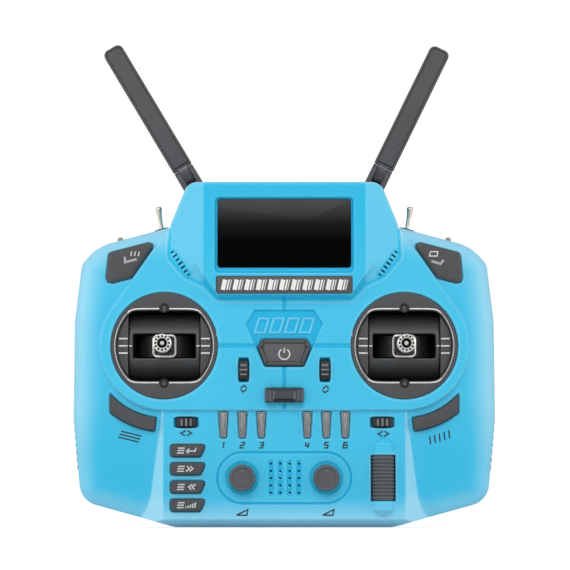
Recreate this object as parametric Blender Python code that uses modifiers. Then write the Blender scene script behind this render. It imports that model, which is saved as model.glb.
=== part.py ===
"""Hand-held radio transmitter with two stick gimbals, keys, trims, dials, switches and antennas.

Sizes are millimetres in the face frame: x runs across the face, y up it and z out of it. The
origin is in the middle of the flat bottom face, just behind the seam of the two shells. One empty
stands that frame upright, so in the scene the face looks along -Y and the antennas point up +Z.
"""

import math

import bmesh
import bpy
from mathutils import Matrix, Vector

MM = 0.001
GAP = 0.3
THROUGH = 60.0

# Case
SEAM_FRONT = 2.15
SEAM_REAR = 1.85
CASE_OUTLINE_LEFT = (
    (-46.8, 0.0, 12.0),
    (-87.1, 11.2, 9.5),
    (-90.5, 46.0, 60.0),
    (-90.3, 88.0, 60.0),
    (-87.4, 113.0, 6.0),
    (-80.5, 120.7, 20.0),
    (-48.8, 129.2, 0.5),
)
SHOULDER_FOOT = (-48.8, 129.2)
SHOULDER_ANGLE = math.radians(15.0)
WING_TOP = 11.0
WING_ROUND = 7.0
WING_ROUND_STEPS = 3
PALM_SLOPE = 0.1
PALM_SLOPE_START = 52.0
PALM_SLOPE_END = -5.0
PLATE_TOP = 13.0
PLATE_FOOT_Y = 49.5
DECK_TOP = 11.5
DECK_HALF_WIDTH = 55.0
DECK_LENGTH = 58.0
DECK_EDGE = 3.6
HUMP_TOP = 17.5
HUMP_FLAT_HALF_WIDTH = 34.5
HUMP_EDGE_TOP = 13.5
HUMP_HOLLOW_TOP = 12.3
HUMP_OUTLINE_LEFT = (
    (-28.6, 97.1, 0.5),
    (-34.3, 103.1, 4.0),
    (-42.5, 106.9, 4.0),
    (-49.5, 115.1, 3.0),
    (-48.8, 129.2, 0.5),
    (-41.3, 147.2, 5.5),
)
HUMP_CORNER_X = 49.5
HUMP_SPAN_Y = (90.0, 160.0)
CASE_WALL = 2.2
FACE_SKIN = 2.0
RIM_ROOM_TOP = 4.0
WING_ROOM_INSET = 9.0
WING_ROOM_FOOT_Y = 54.0
DECK_ROOM = ((-50.0, 5.5), (50.0, 60.0))
PLATE_ROOM = ((-30.0, 50.0), (30.0, 104.0))
HUMP_ROOM = ((-32.0, 100.0), (32.0, 135.8))
REAR_DEPTH = 20.0
REAR_EDGE = 8.0
REAR_SHELF_Y = 138.0
REAR_SHELF_HALF_WIDTH = 45.4

# Rear bulges and covers
BATTERY_BOX = (38.0, 22.0, 112.0)
BATTERY_BOX_DEPTH = 34.0
BATTERY_BOX_ROUND = 4.0
BULGE_FRONT = -12.0
BOX_WALL = 2.0
ROOM_TOP = 5.0
OPENING_DEPTH = 5.0
COVER_THICKNESS = 2.0
COVER_EDGE = 0.5
BATTERY_DOOR = (34.0, 26.0, 72.0)
MODULE_COVER = (30.0, 80.0, 108.0)
RIB_COUNT = 3
RIB_PITCH = 3.0
RIB_WIDTH = 1.4
RIB_HALF_LENGTH = 8.0
RIB_RISE = 0.7
RIB_MARGIN = 5.6
CELL_RADIUS = 9.1
CELL_LENGTH = 65.0
CELL_DEPTH = -22.5
CELL_ROWS = (39.6, 58.2)
WRAP_HALF_LENGTH = 28.5
WRAP_HALF_THICKNESS = 6.0
GRIP_OUTLINE_LEFT = (
    (-62.0, 14.0, 5.0),
    (-83.0, 18.5, 5.0),
    (-86.0, 46.0, 20.0),
    (-85.5, 86.0, 10.0),
    (-79.0, 102.0, 6.0),
    (-60.0, 96.0, 6.0),
)
GRIP_PROFILE = (
    (10.0, -12.0),
    (10.0, -29.0),
    (18.0, -35.0),
    (46.0, -35.0),
    (104.0, -21.0),
    (104.0, -12.0),
)
GRIP_HOLLOW = ((20.0, 0.0), (20.0, -28.0), (24.0, -32.0), (45.0, -32.0), (92.0, -20.5), (92.0, 0.0))
GRIP_HOLLOW_SIDES = (64.0, 81.0)
PAD_OUTLINE_LEFT = (
    (-88.3, 110.0),
    (-91.0, 87.0),
    (-91.3, 46.0),
    (-89.2, 22.0),
    (-87.4, 22.0),
    (-88.9, 46.0),
    (-88.7, 87.0),
    (-86.3, 110.0),
)
PAD_DEPTHS = (-17.0, -3.0)

# Display, name plate and strap bar
LENS_CENTRE = (0.0, 125.1)
LENS_SIZE = (57.2, 29.5)
LENS_TOP = 16.0
LENS_THICKNESS = 1.4
LENS_BORDER = 2.5
RECESS_SIZE = (59.8, 33.0)
RECESS_CENTRE_Y = 124.3
RECESS_DEPTH = 0.4
NAME_PLATE_CENTRE = (0.0, 102.9)
NAME_PLATE_SIZE = (58.0, 7.2)
NAME_PLATE_TOP = 17.3
NAME_PLATE_THICKNESS = 0.8
STRAP_BAR_CENTRE_Y = 56.0
STRAP_BAR_HEIGHT = 6.4
STRAP_BAR_PROFILE = (
    (-8.3, 13.3),
    (-8.3, 15.4),
    (-6.3, 18.0),
    (6.3, 18.0),
    (8.3, 15.4),
    (8.3, 13.3),
    (5.2, 13.3),
    (5.2, 16.2),
    (-5.2, 16.2),
    (-5.2, 13.3),
)

# Gimbals
GIMBAL_CENTRE = (51.3, 77.2)
BEZEL_RADIUS = 22.8
BEZEL_TOP = 12.8
BEZEL_THICKNESS = 2.5
BEZEL_WINDOW_RADIUS = 20.5
BEZEL_WINDOW_HALF_HEIGHT = 15.2
CHEEK_TOP = 11.3
FRAME_RADIUS = 22.4
FRAME_BACK = -14.0
FRAME_HALF_WIDTH = 15.4
FRAME_HALF_HEIGHT = 15.5
SCREW_OFFSET = 16.2
SCREW_HEAD_RADIUS = 1.65
SCREW_HEAD_HEIGHT = 1.2
SCREW_SOCKET_RADIUS = 0.8
SCREW_SOCKET_DEPTH = 0.6
PIVOT_DEPTH = -3.5
DRUM_RADIUS = 15.0
DRUM_HALF_LENGTH = 15.1
DRUM_BACK = -6.0
DRUM_SLOT = (27.1, 10.8)
DRUM_STUB_RADIUS = 2.0
DRUM_STUB_START = 14.6
DRUM_STUB_END = 18.6
STUB_CLEARANCE = 0.4
YOKE_RADIUS = 12.3
YOKE_THICKNESS = 9.9
YOKE_PIN_RADIUS = 1.5
YOKE_PIN_END = 8.6
COLLAR_SIZE = (10.4, 10.0)
COLLAR_BOTTOM = 9.3
COLLAR_TOP = 13.8
STICK_RADIUS = 1.8
STICK_END = 32.4
TIP_RADIUS = 3.9
TIP_BOTTOM = 26.6
TIP_TOP = 34.5
TIP_DISH_RADIUS = 2.0
TIP_DISH_DEPTH = 0.8

# Trims
TRIM_RADIUS = 7.0
TRIM_RISE = 1.4
TRIM_HALF_ANGLE = math.radians(36.0)
TRIM_HUB_RADIUS = 2.0
TRIM_HUB_ANGLES = (math.radians(170), math.radians(370))
TRIM_WIDTH = 3.7
TRIM_AXLE_RADIUS = 0.9
TRIM_AXLE_LENGTH = 6.4
TRIM_SLOT = (4.4, 11.0)
UPRIGHT_TRIM_CENTRE = (17.35, 66.8)
LEVEL_TRIM_CENTRE = (41.8, 44.5)

# Keys and buttons
PLUNGER_END = 2.4
FLANGE_WIDTH = 0.8
FLANGE_THICKNESS = 0.8
KEY_COLUMNS = (-26.0, -17.9, -9.8, 9.8, 17.9, 26.0)
KEY_OUTLINE = ((-1.85, 48.8, 0.3), (-1.15, 38.1, 0.3), (1.15, 38.1, 0.3), (1.85, 48.8, 0.3))
KEY_TOP = 12.3
NAV_ROWS = (32.5, 24.75, 17.05, 9.35)
NAV_OUTLINE = ((-48.3, 2.5, 0.9), (-48.3, -2.5, 0.9), (-35.7, -2.5, 0.9), (-33.5, 2.5, 0.9))
NAV_TOP = 12.9
MENU_RADII = (30.9, 36.5)
MENU_INNER_ANGLE = math.radians(-96.5)
MENU_END_X = -74.3
MENU_TOP = 12.2
CORNER_OUTLINE_LEFT = ((-75.5, 117.3, 1.5), (-76.6, 103.4, 2.2), (-65.5, 106.4, 1.2), (-54.2, 122.8, 1.6))
CORNER_TOP = 12.4
HEX_RECESS_LEFT = ((-12.9, 92.8, 0.5), (-16.9, 86.4, 0.5), (-8.6, 67.9, 0.5))
HEX_RECESS_FLOOR = 12.0
POWER_BEZEL_LEFT = ((-9.5, 79.9, 0.5), (-11.2, 76.6, 0.5), (-8.2, 68.7, 0.5))
POWER_BEZEL_TOP = 13.9
POWER_BEZEL_BACK = 8.5
POWER_BUTTON_LEFT = ((-8.6, 78.2, 0.5), (-9.2, 76.3, 0.5), (-7.1, 70.3, 0.5))
POWER_TOP = 13.4

# Dials, roller and speaker
KNOB_CENTRE = (17.9, 20.9)
KNOB_RADIUS = 5.7
KNOB_TOP = 17.0
KNOB_BOTTOM = 10.9
KNOB_SHAFT_RADIUS = 3.0
KNOB_RIM_WIDTH = 1.4
KNOB_RIM_HEIGHT = 0.3
DISH_RADII = (7.8, 6.4)
DISH_FLOOR = 10.6
ROLLER_CENTRE = (42.1, 20.9)
ROLLER_AXIS_DEPTH = 10.2
ROLLER_RADIUS = 4.9
ROLLER_LENGTH = 19.0
ROLLER_PIN_RADIUS = 1.0
ROLLER_PIN_END = 11.4
ROLLER_SLOT = (10.5, 19.65)
FAIRING_RADIUS = 4.7
FAIRING_LENGTH = 27.85
FAIRING_CONE_LENGTH = 2.4
FAIRING_TIP_RADIUS = 2.2
FAIRING_OVERLAP = 0.2
FAIRING_OFFSET_Y = 0.65
CRADLE_HALF_WIDTH = 2.4
CRADLE_ARM = (10.3, 12.1)
CRADLE_TOP = 12.2
CRADLE_BACK = 2.8
CRADLE_BASE_THICKNESS = 1.6
CRADLE_TUNNEL_RADIUS = 3.5
CRADLE_TUNNEL_END = 13.1
SPEAKER_CENTRE = (0.3, 20.8)
SPEAKER_RADIUS = 9.4
SPEAKER_DEPTHS = (4.6, 9.1)
SPEAKER_HOLE_RADIUS = 0.55
SPEAKER_PITCH = (4.0, 3.07)
SPEAKER_COLUMNS = (-1.5, -0.5, 0.5, 1.5)
SPEAKER_ROWS = (-2, -1, 0, 1, 2)
VENT_FIRST = (47.9, 117.3)
VENT_LAST = (41.0, 107.5)
VENT_COUNT = 7
VENT_SIZE = (2.2, 0.75)

# Board
BOARD_DEPTHS = (-2.0, -0.4)
BOARD_OUTLINE_LEFT = ((-27.0, 132.0), (-27.0, 50.0), (-50.0, 50.0), (-50.0, 7.0))

# Toggle switches
TOGGLE_FLANGE_RADIUS = 3.4
TOGGLE_FLANGE_TOP = 1.0
TOGGLE_SHANK_RADIUS = 2.5
TOGGLE_SHANK_END = -4.5
TOGGLE_SHANK_HOLE = 8.0
TOGGLE_MOUTH_RADIUS = 2.4
TOGGLE_SOCKET_RADIUS = 1.5
TOGGLE_SOCKET_DEPTH = 1.6
LEVER_RADIUS = 1.3
LEVER_NECK_RADIUS = 0.9
INNER_TOGGLE_X = -53.3
INNER_TOGGLE_DEPTH = -4.2
INNER_LEVER_LEAN = math.radians(8.4)
INNER_LEVER_LENGTH = 10.4
OUTER_TOGGLE_X = -70.7
OUTER_TOGGLE_LEAN = math.radians(45.0)
OUTER_LEVER_LENGTH = 11.4

# Antennas
ANTENNA_PIVOT = (37.3, 144.0)
ANTENNA_DEPTH = -6.0
ANTENNA_TILTS = {"left": math.radians(30.8), "right": math.radians(-26.0)}
SWIVEL_HALF_WIDTH = 4.4
SWIVEL_HALF_THICKNESS = 4.0
SWIVEL_PIN_RADIUS = 2.0
FOLD_DISTANCE = 9.7
FOLD_PIN_RADIUS = 1.0
FOLD_PIN_END = 3.8
FORK_CLEARANCE = 0.8
TONGUE_HALF_WIDTH = 2.0
TONGUE_RADIUS = 3.2
TONGUE_OVERLAP = 2.0
TONGUE_INSET = 0.2
BLADE_START = 4.6
BLADE_ENDS = {"left": 65.9, "right": 62.3}
BLADE_HALF_WIDTH = 4.55
BLADE_HALF_THICKNESS = 2.0
LUG_RADIUS = 4.1
LUG_FOOT_Y = 132.0
LUG_DEPTHS = (-16.0, -12.3)
SWIVEL_PIN_END = -0.7

COLOURS = {
    "case_blue": ((0.11, 0.56, 0.83), 0.42, 0.0),
    "grip_rubber": ((0.03, 0.03, 0.032), 0.85, 0.0),
    "dark_plastic": ((0.09, 0.092, 0.096), 0.5, 0.0),
    "black_plastic": ((0.03, 0.031, 0.033), 0.45, 0.0),
    "screen_glass": ((0.01, 0.01, 0.011), 0.08, 0.0),
    "name_plate": ((0.07, 0.072, 0.075), 0.35, 0.0),
    "silver": ((0.72, 0.7, 0.67), 0.25, 1.0),
    "switch_nickel": ((0.6, 0.56, 0.5), 0.28, 1.0),
    "smoke_key": ((0.27, 0.28, 0.29), 0.35, 0.0),
    "circuit_board": ((0.01, 0.1, 0.04), 0.5, 0.0),
    "battery_wrap": ((0.02, 0.05, 0.2), 0.5, 0.0),
}

PLANE_TURNS = {
    "Z": Matrix.Identity(4),
    "X": Matrix(((0, 0, 1, 0), (1, 0, 0, 0), (0, 1, 0, 0), (0, 0, 0, 1))),
    "Y": Matrix(((1, 0, 0, 0), (0, 0, -1, 0), (0, 1, 0, 0), (0, 0, 0, 1))),
}
SIDES = (("left", -1), ("right", 1))


# ---------------------------------------------------------------- outlines


def arc(centre, radius, start, end, steps):
    """Points along an arc, both ends included."""
    angles = [start + (end - start) * i / steps for i in range(steps + 1)]
    return [(centre[0] + radius * math.cos(a), centre[1] + radius * math.sin(a)) for a in angles]


def mirrored(points):
    """A left half followed by its mirror image, as one closed outline."""
    return tuple(points) + tuple((-p[0], *p[1:]) for p in reversed(points))


def flipped(points, sign):
    """The outline of the left piece, or its mirror image for the right one."""
    return tuple(points) if sign < 0 else tuple((-p[0], *p[1:]) for p in reversed(points))


def rounded(corners, steps=2):
    """Corners given as (x, y, radius), each replaced by an arc that meets its two edges."""
    points = []
    for i, (x, y, radius) in enumerate(corners):
        corner = Vector((x, y))
        back = (Vector(corners[i - 1][:2]) - corner).normalized()
        ahead = (Vector(corners[(i + 1) % len(corners)][:2]) - corner).normalized()
        half = back.angle(ahead) / 2
        middle = corner + (back + ahead).normalized() * radius / math.sin(half)
        start = corner + back * radius / math.tan(half) - middle
        turn = start.angle_signed(corner + ahead * radius / math.tan(half) - middle)
        for step in range(steps + 1):
            points.append(tuple(middle + Matrix.Rotation(-turn * step / steps, 2) @ start))
    return points


def grown(corners, amount):
    """The same corners with every edge moved outwards, or inwards for a negative amount."""
    count = len(corners)
    pairs = [(corners[i - 1], corners[i]) for i in range(count)]
    area = sum(a[0] * b[1] - b[0] * a[1] for a, b in pairs)
    outwards = 1 if area > 0 else -1
    result = []
    for i, (x, y, radius) in enumerate(corners):
        corner = Vector((x, y))
        before = (corner - Vector(corners[i - 1][:2])).normalized()
        after = (Vector(corners[(i + 1) % count][:2]) - corner).normalized()
        normals = [Vector((edge.y, -edge.x)) * outwards for edge in (before, after)]
        middle = (normals[0] + normals[1]).normalized()
        moved = corner + middle * amount / middle.dot(normals[0])
        convex = (before.x * after.y - before.y * after.x) * outwards > 0
        result.append((moved.x, moved.y, max(0.1, radius + (amount if convex else -amount))))
    return result


def box_corners(centre, size, radius):
    """The four corners of an upright rectangle with one corner radius."""
    (x, y), (width, height) = centre, size
    signs = ((-1, 1), (-1, -1), (1, -1), (1, 1))
    return [(x + sx * width / 2, y + sy * height / 2, radius) for sx, sy in signs]


def shoulder_y(x):
    """Height of the sloping shoulder edge above the point x on the left side."""
    return SHOULDER_FOOT[1] + (x - SHOULDER_FOOT[0]) * math.tan(SHOULDER_ANGLE)


# ---------------------------------------------------------------- objects


def clear_scene():
    for thing in list(bpy.data.objects):
        bpy.data.objects.remove(thing, do_unlink=True)


def new_collection(name):
    collection = bpy.data.collections.new(name)
    bpy.context.scene.collection.children.link(collection)
    return collection


def face_frame(collection):
    """The empty that stands the face frame upright."""
    empty = bpy.data.objects.new("face_frame", None)
    empty.rotation_euler = (math.pi / 2, 0, 0)
    collection.objects.link(empty)
    return empty


def make_material(name):
    colour, roughness, metallic = COLOURS[name]
    material = bpy.data.materials.new(name)
    material.use_nodes = True
    shader = material.node_tree.nodes["Principled BSDF"]
    shader.inputs["Base Color"].default_value = (*colour, 1.0)
    shader.inputs["Roughness"].default_value = roughness
    shader.inputs["Metallic"].default_value = metallic
    material.diffuse_color = (*colour, 1.0)
    return material


def place(name, mesh, at=(0, 0, 0), turn=(0, 0, 0), parent=None):
    """Puts a mesh in the cutters' collection until it is finished as a part."""
    thing = bpy.data.objects.new(name, mesh)
    thing.parent = parent or FRAME
    thing.location = [MM * value for value in at]
    thing.rotation_euler = turn
    thing.hide_render = True
    thing.display_type = "WIRE"
    CUTTERS.objects.link(thing)
    return thing


def finish(thing, material, smooth=True):
    """Makes a shape one of the parts: shown, with its material and its smooth shading."""
    CUTTERS.objects.unlink(thing)
    PARTS.objects.link(thing)
    thing.hide_render = False
    thing.display_type = "TEXTURED"
    thing.data.materials.clear()
    thing.data.materials.append(MATERIALS[material])
    if smooth:
        thing.data.shade_smooth()
        thing.data.set_sharp_from_angle(angle=math.radians(35))
    return thing


def combine(target, operation, tools):
    """One Boolean of the target with a collection of tools."""
    group = bpy.data.collections.new(f"{target.name}_{operation.lower()}")
    CUTTERS.children.link(group)
    for tool in tools:
        CUTTERS.objects.unlink(tool)
        group.objects.link(tool)
    modifier = target.modifiers.new(group.name, "BOOLEAN")
    modifier.operation = operation
    modifier.operand_type = "COLLECTION"
    modifier.collection = group
    modifier.solver = "EXACT"
    return target


def prism(name, points, low, high, along="Z", edge=0.0, edge_at="high", **where):
    """A flat outline given thickness along one axis, with an optional bevel round one end."""
    curve = bpy.data.curves.new(name, "CURVE")
    curve.dimensions = "2D"
    curve.fill_mode = "BOTH"
    curve.extrude = MM * (high - low) / 2
    spline = curve.splines.new("POLY")
    spline.points.add(len(points) - 1)
    for point, (x, y) in zip(spline.points, points):
        point.co = (MM * x, MM * y, 0, 1)
    spline.use_cyclic_u = True
    guide = bpy.data.objects.new(name, curve)
    CUTTERS.objects.link(guide)
    graph = bpy.context.evaluated_depsgraph_get()
    mesh = bpy.data.meshes.new_from_object(guide.evaluated_get(graph))
    bpy.data.objects.remove(guide)

    work = bmesh.new()
    work.from_mesh(mesh)
    bmesh.ops.remove_doubles(work, verts=work.verts, dist=MM * 0.001)
    bmesh.ops.dissolve_limit(work, angle_limit=0.001, verts=work.verts, edges=work.edges)
    if edge:
        side = 1 if edge_at == "high" else -1
        rim = [e for e in work.edges if all(side * v.co.z > 0 for v in e.verts)]
        bmesh.ops.bevel(work, geom=rim, offset=MM * edge, profile=0.5, affect="EDGES", clamp_overlap=True)
    bmesh.ops.recalc_face_normals(work, faces=work.faces)
    bmesh.ops.translate(work, verts=work.verts, vec=(0, 0, MM * (low + high) / 2))
    bmesh.ops.transform(work, matrix=PLANE_TURNS[along], verts=work.verts)
    if along == "Y":
        bmesh.ops.translate(work, verts=work.verts, vec=(0, MM * (low + high), 0))
    work.to_mesh(mesh)
    work.free()
    return place(name, mesh, **where)


def loft(name, corners, levels, **where):
    """A solid through insets of one outline, each level given as (height, inset)."""
    mesh = bpy.data.meshes.new(name)
    work = bmesh.new()
    rings = []
    for height, inset in levels:
        ring = rounded(grown(corners, -inset), 3)
        rings.append([work.verts.new((MM * x, MM * y, MM * height)) for x, y in ring])
    for low, high in zip(rings, rings[1:]):
        for i in range(len(low)):
            work.faces.new((low[i - 1], low[i], high[i], high[i - 1]))
    work.faces.new(rings[0])
    work.faces.new(rings[-1])
    bmesh.ops.recalc_face_normals(work, faces=work.faces)
    work.to_mesh(mesh)
    work.free()
    return place(name, mesh, **where)


def cylinder(name, radius, low, high, along="Z", top_radius=None, steps=24, **where):
    """A cylinder or a cone between two heights along one axis."""
    mesh = bpy.data.meshes.new(name)
    work = bmesh.new()
    bmesh.ops.create_cone(
        work,
        cap_ends=True,
        segments=steps,
        radius1=MM * radius,
        radius2=MM * (radius if top_radius is None else top_radius),
        depth=MM * (high - low),
    )
    bmesh.ops.rotate(work, verts=work.verts, matrix=Matrix.Rotation(math.pi / steps, 3, "Z"))
    bmesh.ops.translate(work, verts=work.verts, vec=(0, 0, MM * (low + high) / 2))
    turn = Matrix.Rotation(-math.pi / 2, 4, "X") if along == "Y" else PLANE_TURNS[along]
    bmesh.ops.transform(work, matrix=turn, verts=work.verts)
    work.to_mesh(mesh)
    work.free()
    return place(name, mesh, **where)


def box(name, low, high, **where):
    """A box between two corners."""
    mesh = bpy.data.meshes.new(name)
    work = bmesh.new()
    bmesh.ops.create_cube(work, size=1.0)
    size = [MM * (b - a) for a, b in zip(low, high)]
    middle = [MM * (a + b) / 2 for a, b in zip(low, high)]
    bmesh.ops.scale(work, verts=work.verts, vec=size)
    bmesh.ops.translate(work, verts=work.verts, vec=middle)
    work.to_mesh(mesh)
    work.free()
    return place(name, mesh, **where)


def span_box(name, span, low, high, **where):
    """A box over an area given by two corners."""
    return box(name, (*span[0], low), (*span[1], high), **where)


def turned(name, profile, steps, **where):
    """A profile of (radius, height) points, from the top down its outer side, turned round z."""
    mesh = bpy.data.meshes.new(name)
    points = [(MM * radius, 0, MM * height) for radius, height in profile]
    mesh.from_pydata(points, [(i, i + 1) for i in range(len(points) - 1)], [])
    thing = place(name, mesh, **where)
    screw = thing.modifiers.new("turn", "SCREW")
    screw.axis = "Z"
    screw.steps = steps
    screw.render_steps = steps
    screw.use_merge_vertices = True
    screw.merge_threshold = 0.00001
    screw.use_smooth_shade = True
    return thing


# ---------------------------------------------------------------- outlines of the pieces


def plate_outline():
    """The raised centre plate: from the hump's foot round each gimbal to a straight lower edge."""
    radius = GIMBAL_CENTRE[1] - PLATE_FOOT_Y
    centre = (-GIMBAL_CENTRE[0], GIMBAL_CENTRE[1])
    reach = Vector(SHOULDER_FOOT) - Vector(centre)
    tangent = math.atan2(reach.y, reach.x) + math.acos(radius / reach.length)
    left = [SHOULDER_FOOT] + arc(centre, radius, tangent, 1.5 * math.pi, 12)
    return mirrored(left)


def menu_outline(sign, growth=0.0):
    """The curved button under a gimbal: part of a ring, cut square at its outer end."""
    centre = (-GIMBAL_CENTRE[0], GIMBAL_CENTRE[1])
    inner, outer = MENU_RADII[0] - growth, MENU_RADII[1] + growth
    end_x = MENU_END_X - growth
    points = []
    for radius, forwards in ((outer, True), (inner, False)):
        start = MENU_INNER_ANGLE + growth / radius
        end = -math.pi + math.acos((centre[0] - end_x) / radius)
        stretch = arc(centre, radius, start, end, 5)
        points += stretch if forwards else stretch[::-1]
    return flipped(points, sign)


def window_outline():
    """The opening of a gimbal's bezel: a circle cut off level above and below."""
    half = math.asin(BEZEL_WINDOW_HALF_HEIGHT / BEZEL_WINDOW_RADIUS)
    right = arc((0, 0), BEZEL_WINDOW_RADIUS, -half, half, 8)
    return right + [(-x, -y) for x, y in right]


def trim_outline():
    """A rocker seen along its axle: a rim that narrows to a round hub."""
    up = math.pi / 2
    rim = arc((0, 0), TRIM_RADIUS, up - TRIM_HALF_ANGLE, up + TRIM_HALF_ANGLE, 6)
    return rim + arc((0, 0), TRIM_HUB_RADIUS, *TRIM_HUB_ANGLES, 6)


def trim_places():
    """Name, centre, surface height and axle direction of each trim."""
    (x, y), (u, v) = UPRIGHT_TRIM_CENTRE, LEVEL_TRIM_CENTRE
    return (
        ("trim_left_vertical", (-x, y), PLATE_TOP, "X"),
        ("trim_right_vertical", (x, y), PLATE_TOP, "X"),
        ("trim_left_horizontal", (-u, v), DECK_TOP, "Y"),
        ("trim_right_horizontal", (u, v), DECK_TOP, "Y"),
    )


def lug_outline(sign):
    """The ear behind an antenna's swivel, round above and square at its foot."""
    x, y = sign * ANTENNA_PIVOT[0], ANTENNA_PIVOT[1]
    foot = [(x - LUG_RADIUS, LUG_FOOT_Y), (x + LUG_RADIUS, LUG_FOOT_Y)]
    return foot + arc((x, y), LUG_RADIUS, 0, math.pi, 8)


# ---------------------------------------------------------------- case


def rear_corners():
    """The case's outline with the shelf behind the hump that carries the antennas."""
    return mirrored(CASE_OUTLINE_LEFT + ((-REAR_SHELF_HALF_WIDTH, REAR_SHELF_Y, 2.0),))


def palm_cutter():
    """Takes the front of the lower wings down in a slope towards the bottom."""
    start, end = PALM_SLOPE_START, PALM_SLOPE_END
    low = WING_TOP - (start - end) * PALM_SLOPE
    profile = [(start, WING_TOP), (end, low), (end, THROUGH), (start, THROUGH)]
    return prism("palm_slope", profile, -THROUGH * 2, THROUGH * 2, along="X")


def hump_block():
    """The raised display housing, with a flat front between two sloping facets."""
    hump = prism("hump", rounded(mirrored(HUMP_OUTLINE_LEFT)), SEAM_FRONT, HUMP_TOP + 1)
    half, edge = HUMP_FLAT_HALF_WIDTH, THROUGH
    low = HUMP_TOP - (HUMP_TOP - HUMP_EDGE_TOP) * (edge - half) / (HUMP_CORNER_X - half)
    right = ((edge, 0), (edge, low), (half, HUMP_TOP))
    faceted = prism("hump_facets", mirrored(right), *HUMP_SPAN_Y, along="Y")
    return combine(hump, "INTERSECT", [faceted])


def fairing_blocks():
    """Half-buried spindle in line with the roller, with a cone at each end."""
    half = FAIRING_LENGTH / 2
    spot = {
        "at": (ROLLER_CENTRE[0], ROLLER_CENTRE[1] + FAIRING_OFFSET_Y, ROLLER_AXIS_DEPTH),
        "along": "Y",
        "steps": 20,
    }
    start, tip = half - FAIRING_OVERLAP, half + FAIRING_CONE_LENGTH
    return [
        cylinder("fairing", FAIRING_RADIUS, -half, half, **spot),
        cylinder("fairing_top", FAIRING_RADIUS, start, tip, top_radius=FAIRING_TIP_RADIUS, **spot),
        cylinder("fairing_foot", FAIRING_TIP_RADIUS, -tip, -start, top_radius=FAIRING_RADIUS, **spot),
    ]


def front_blocks():
    """Everything that stands on the front shell's wings."""
    deck = box_corners((0, DECK_LENGTH / 2), (2 * DECK_HALF_WIDTH, DECK_LENGTH), 3.0)
    foot = WING_TOP - WING_ROUND
    return [
        prism("plate", plate_outline(), foot, PLATE_TOP),
        prism("deck", rounded(deck), foot, DECK_TOP, edge=DECK_EDGE),
        hump_block(),
        *fairing_blocks(),
    ]


def front_hollows():
    """The rooms inside the front shell, open to the parting plane."""
    inset = grown(mirrored(CASE_OUTLINE_LEFT), -WING_ROOM_INSET)
    foot = WING_ROOM_FOOT_Y
    wings = [(x, max(y, foot)) for x, y, _ in inset if y > foot / 2]
    return [
        loft("hollow_rim", mirrored(CASE_OUTLINE_LEFT), [(0, CASE_WALL), (RIM_ROOM_TOP, CASE_WALL)]),
        prism("hollow_wings", wings, 0, WING_TOP - FACE_SKIN),
        span_box("hollow_deck", DECK_ROOM, 0, DECK_TOP - FACE_SKIN),
        span_box("hollow_plate", PLATE_ROOM, 0, PLATE_TOP - FACE_SKIN),
        span_box("hollow_hump", HUMP_ROOM, 0, HUMP_HOLLOW_TOP),
    ]


def hole_round(name, corners, low=0.0):
    """An opening that leaves a gap all round a piece with these corners."""
    return prism(name, rounded(grown(corners, GAP)), low, THROUGH)


def button_holes():
    holes = [hole_round("key_hole", key_corners(x)) for x in KEY_COLUMNS]
    holes += [hole_round("nav_hole", nav_corners(y)) for y in NAV_ROWS]
    for _, sign in SIDES:
        holes.append(prism("menu_hole", menu_outline(sign, GAP), 0, THROUGH))
        holes.append(hole_round("corner_hole", flipped(CORNER_OUTLINE_LEFT, sign)))
    holes.append(hole_round("power_hole", mirrored(POWER_BEZEL_LEFT)))
    holes.append(prism("hex_recess", rounded(mirrored(HEX_RECESS_LEFT)), HEX_RECESS_FLOOR, THROUGH))
    return holes


def trim_slots():
    slots = []
    for name, (x, y), _, axle in trim_places():
        across, along = TRIM_SLOT if axle == "X" else TRIM_SLOT[::-1]
        low, high = (-across / 2, -along / 2, 0), (across / 2, along / 2, THROUGH)
        slots.append(box(name + "_slot", low, high, at=(x, y, 0)))
    return slots


def dial_and_speaker_holes():
    holes = []
    for _, sign in SIDES:
        spot = (sign * KNOB_CENTRE[0], KNOB_CENTRE[1], 0)
        holes.append(cylinder("knob_hole", KNOB_SHAFT_RADIUS + GAP, 0, THROUGH, steps=16, at=spot))
        holes.append(cylinder("dish", DISH_RADII[1], DISH_FLOOR, DECK_TOP, top_radius=DISH_RADII[0], at=spot))
        holes.append(cylinder("dish_mouth", DISH_RADII[0], DECK_TOP - 0.01, THROUGH, at=spot))
    for column in SPEAKER_COLUMNS:
        for row in SPEAKER_ROWS:
            x = SPEAKER_CENTRE[0] + column * SPEAKER_PITCH[0]
            y = SPEAKER_CENTRE[1] + row * SPEAKER_PITCH[1]
            holes.append(cylinder("speaker_hole", SPEAKER_HOLE_RADIUS, 0, THROUGH, steps=6, at=(x, y, 0)))
    return holes


def roller_slot():
    """The opening over the roller, with room behind it for the cradle's arms."""
    x, y = ROLLER_CENTRE
    width, length = ROLLER_SLOT
    reach = CRADLE_TUNNEL_END
    spot = (x, y, ROLLER_AXIS_DEPTH)
    wide = CRADLE_TUNNEL_RADIUS
    slot = ((-width / 2, -length / 2), (width / 2, length / 2))
    room = ((-wide, -reach), (wide, reach))
    return [
        span_box("roller_slot", slot, 0, THROUGH, at=(x, y, 0)),
        cylinder("cradle_tunnel", wide, -reach, reach, along="Y", steps=16, at=spot),
        span_box("cradle_room", room, 0, ROLLER_AXIS_DEPTH, at=(x, y, 0)),
    ]


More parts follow.
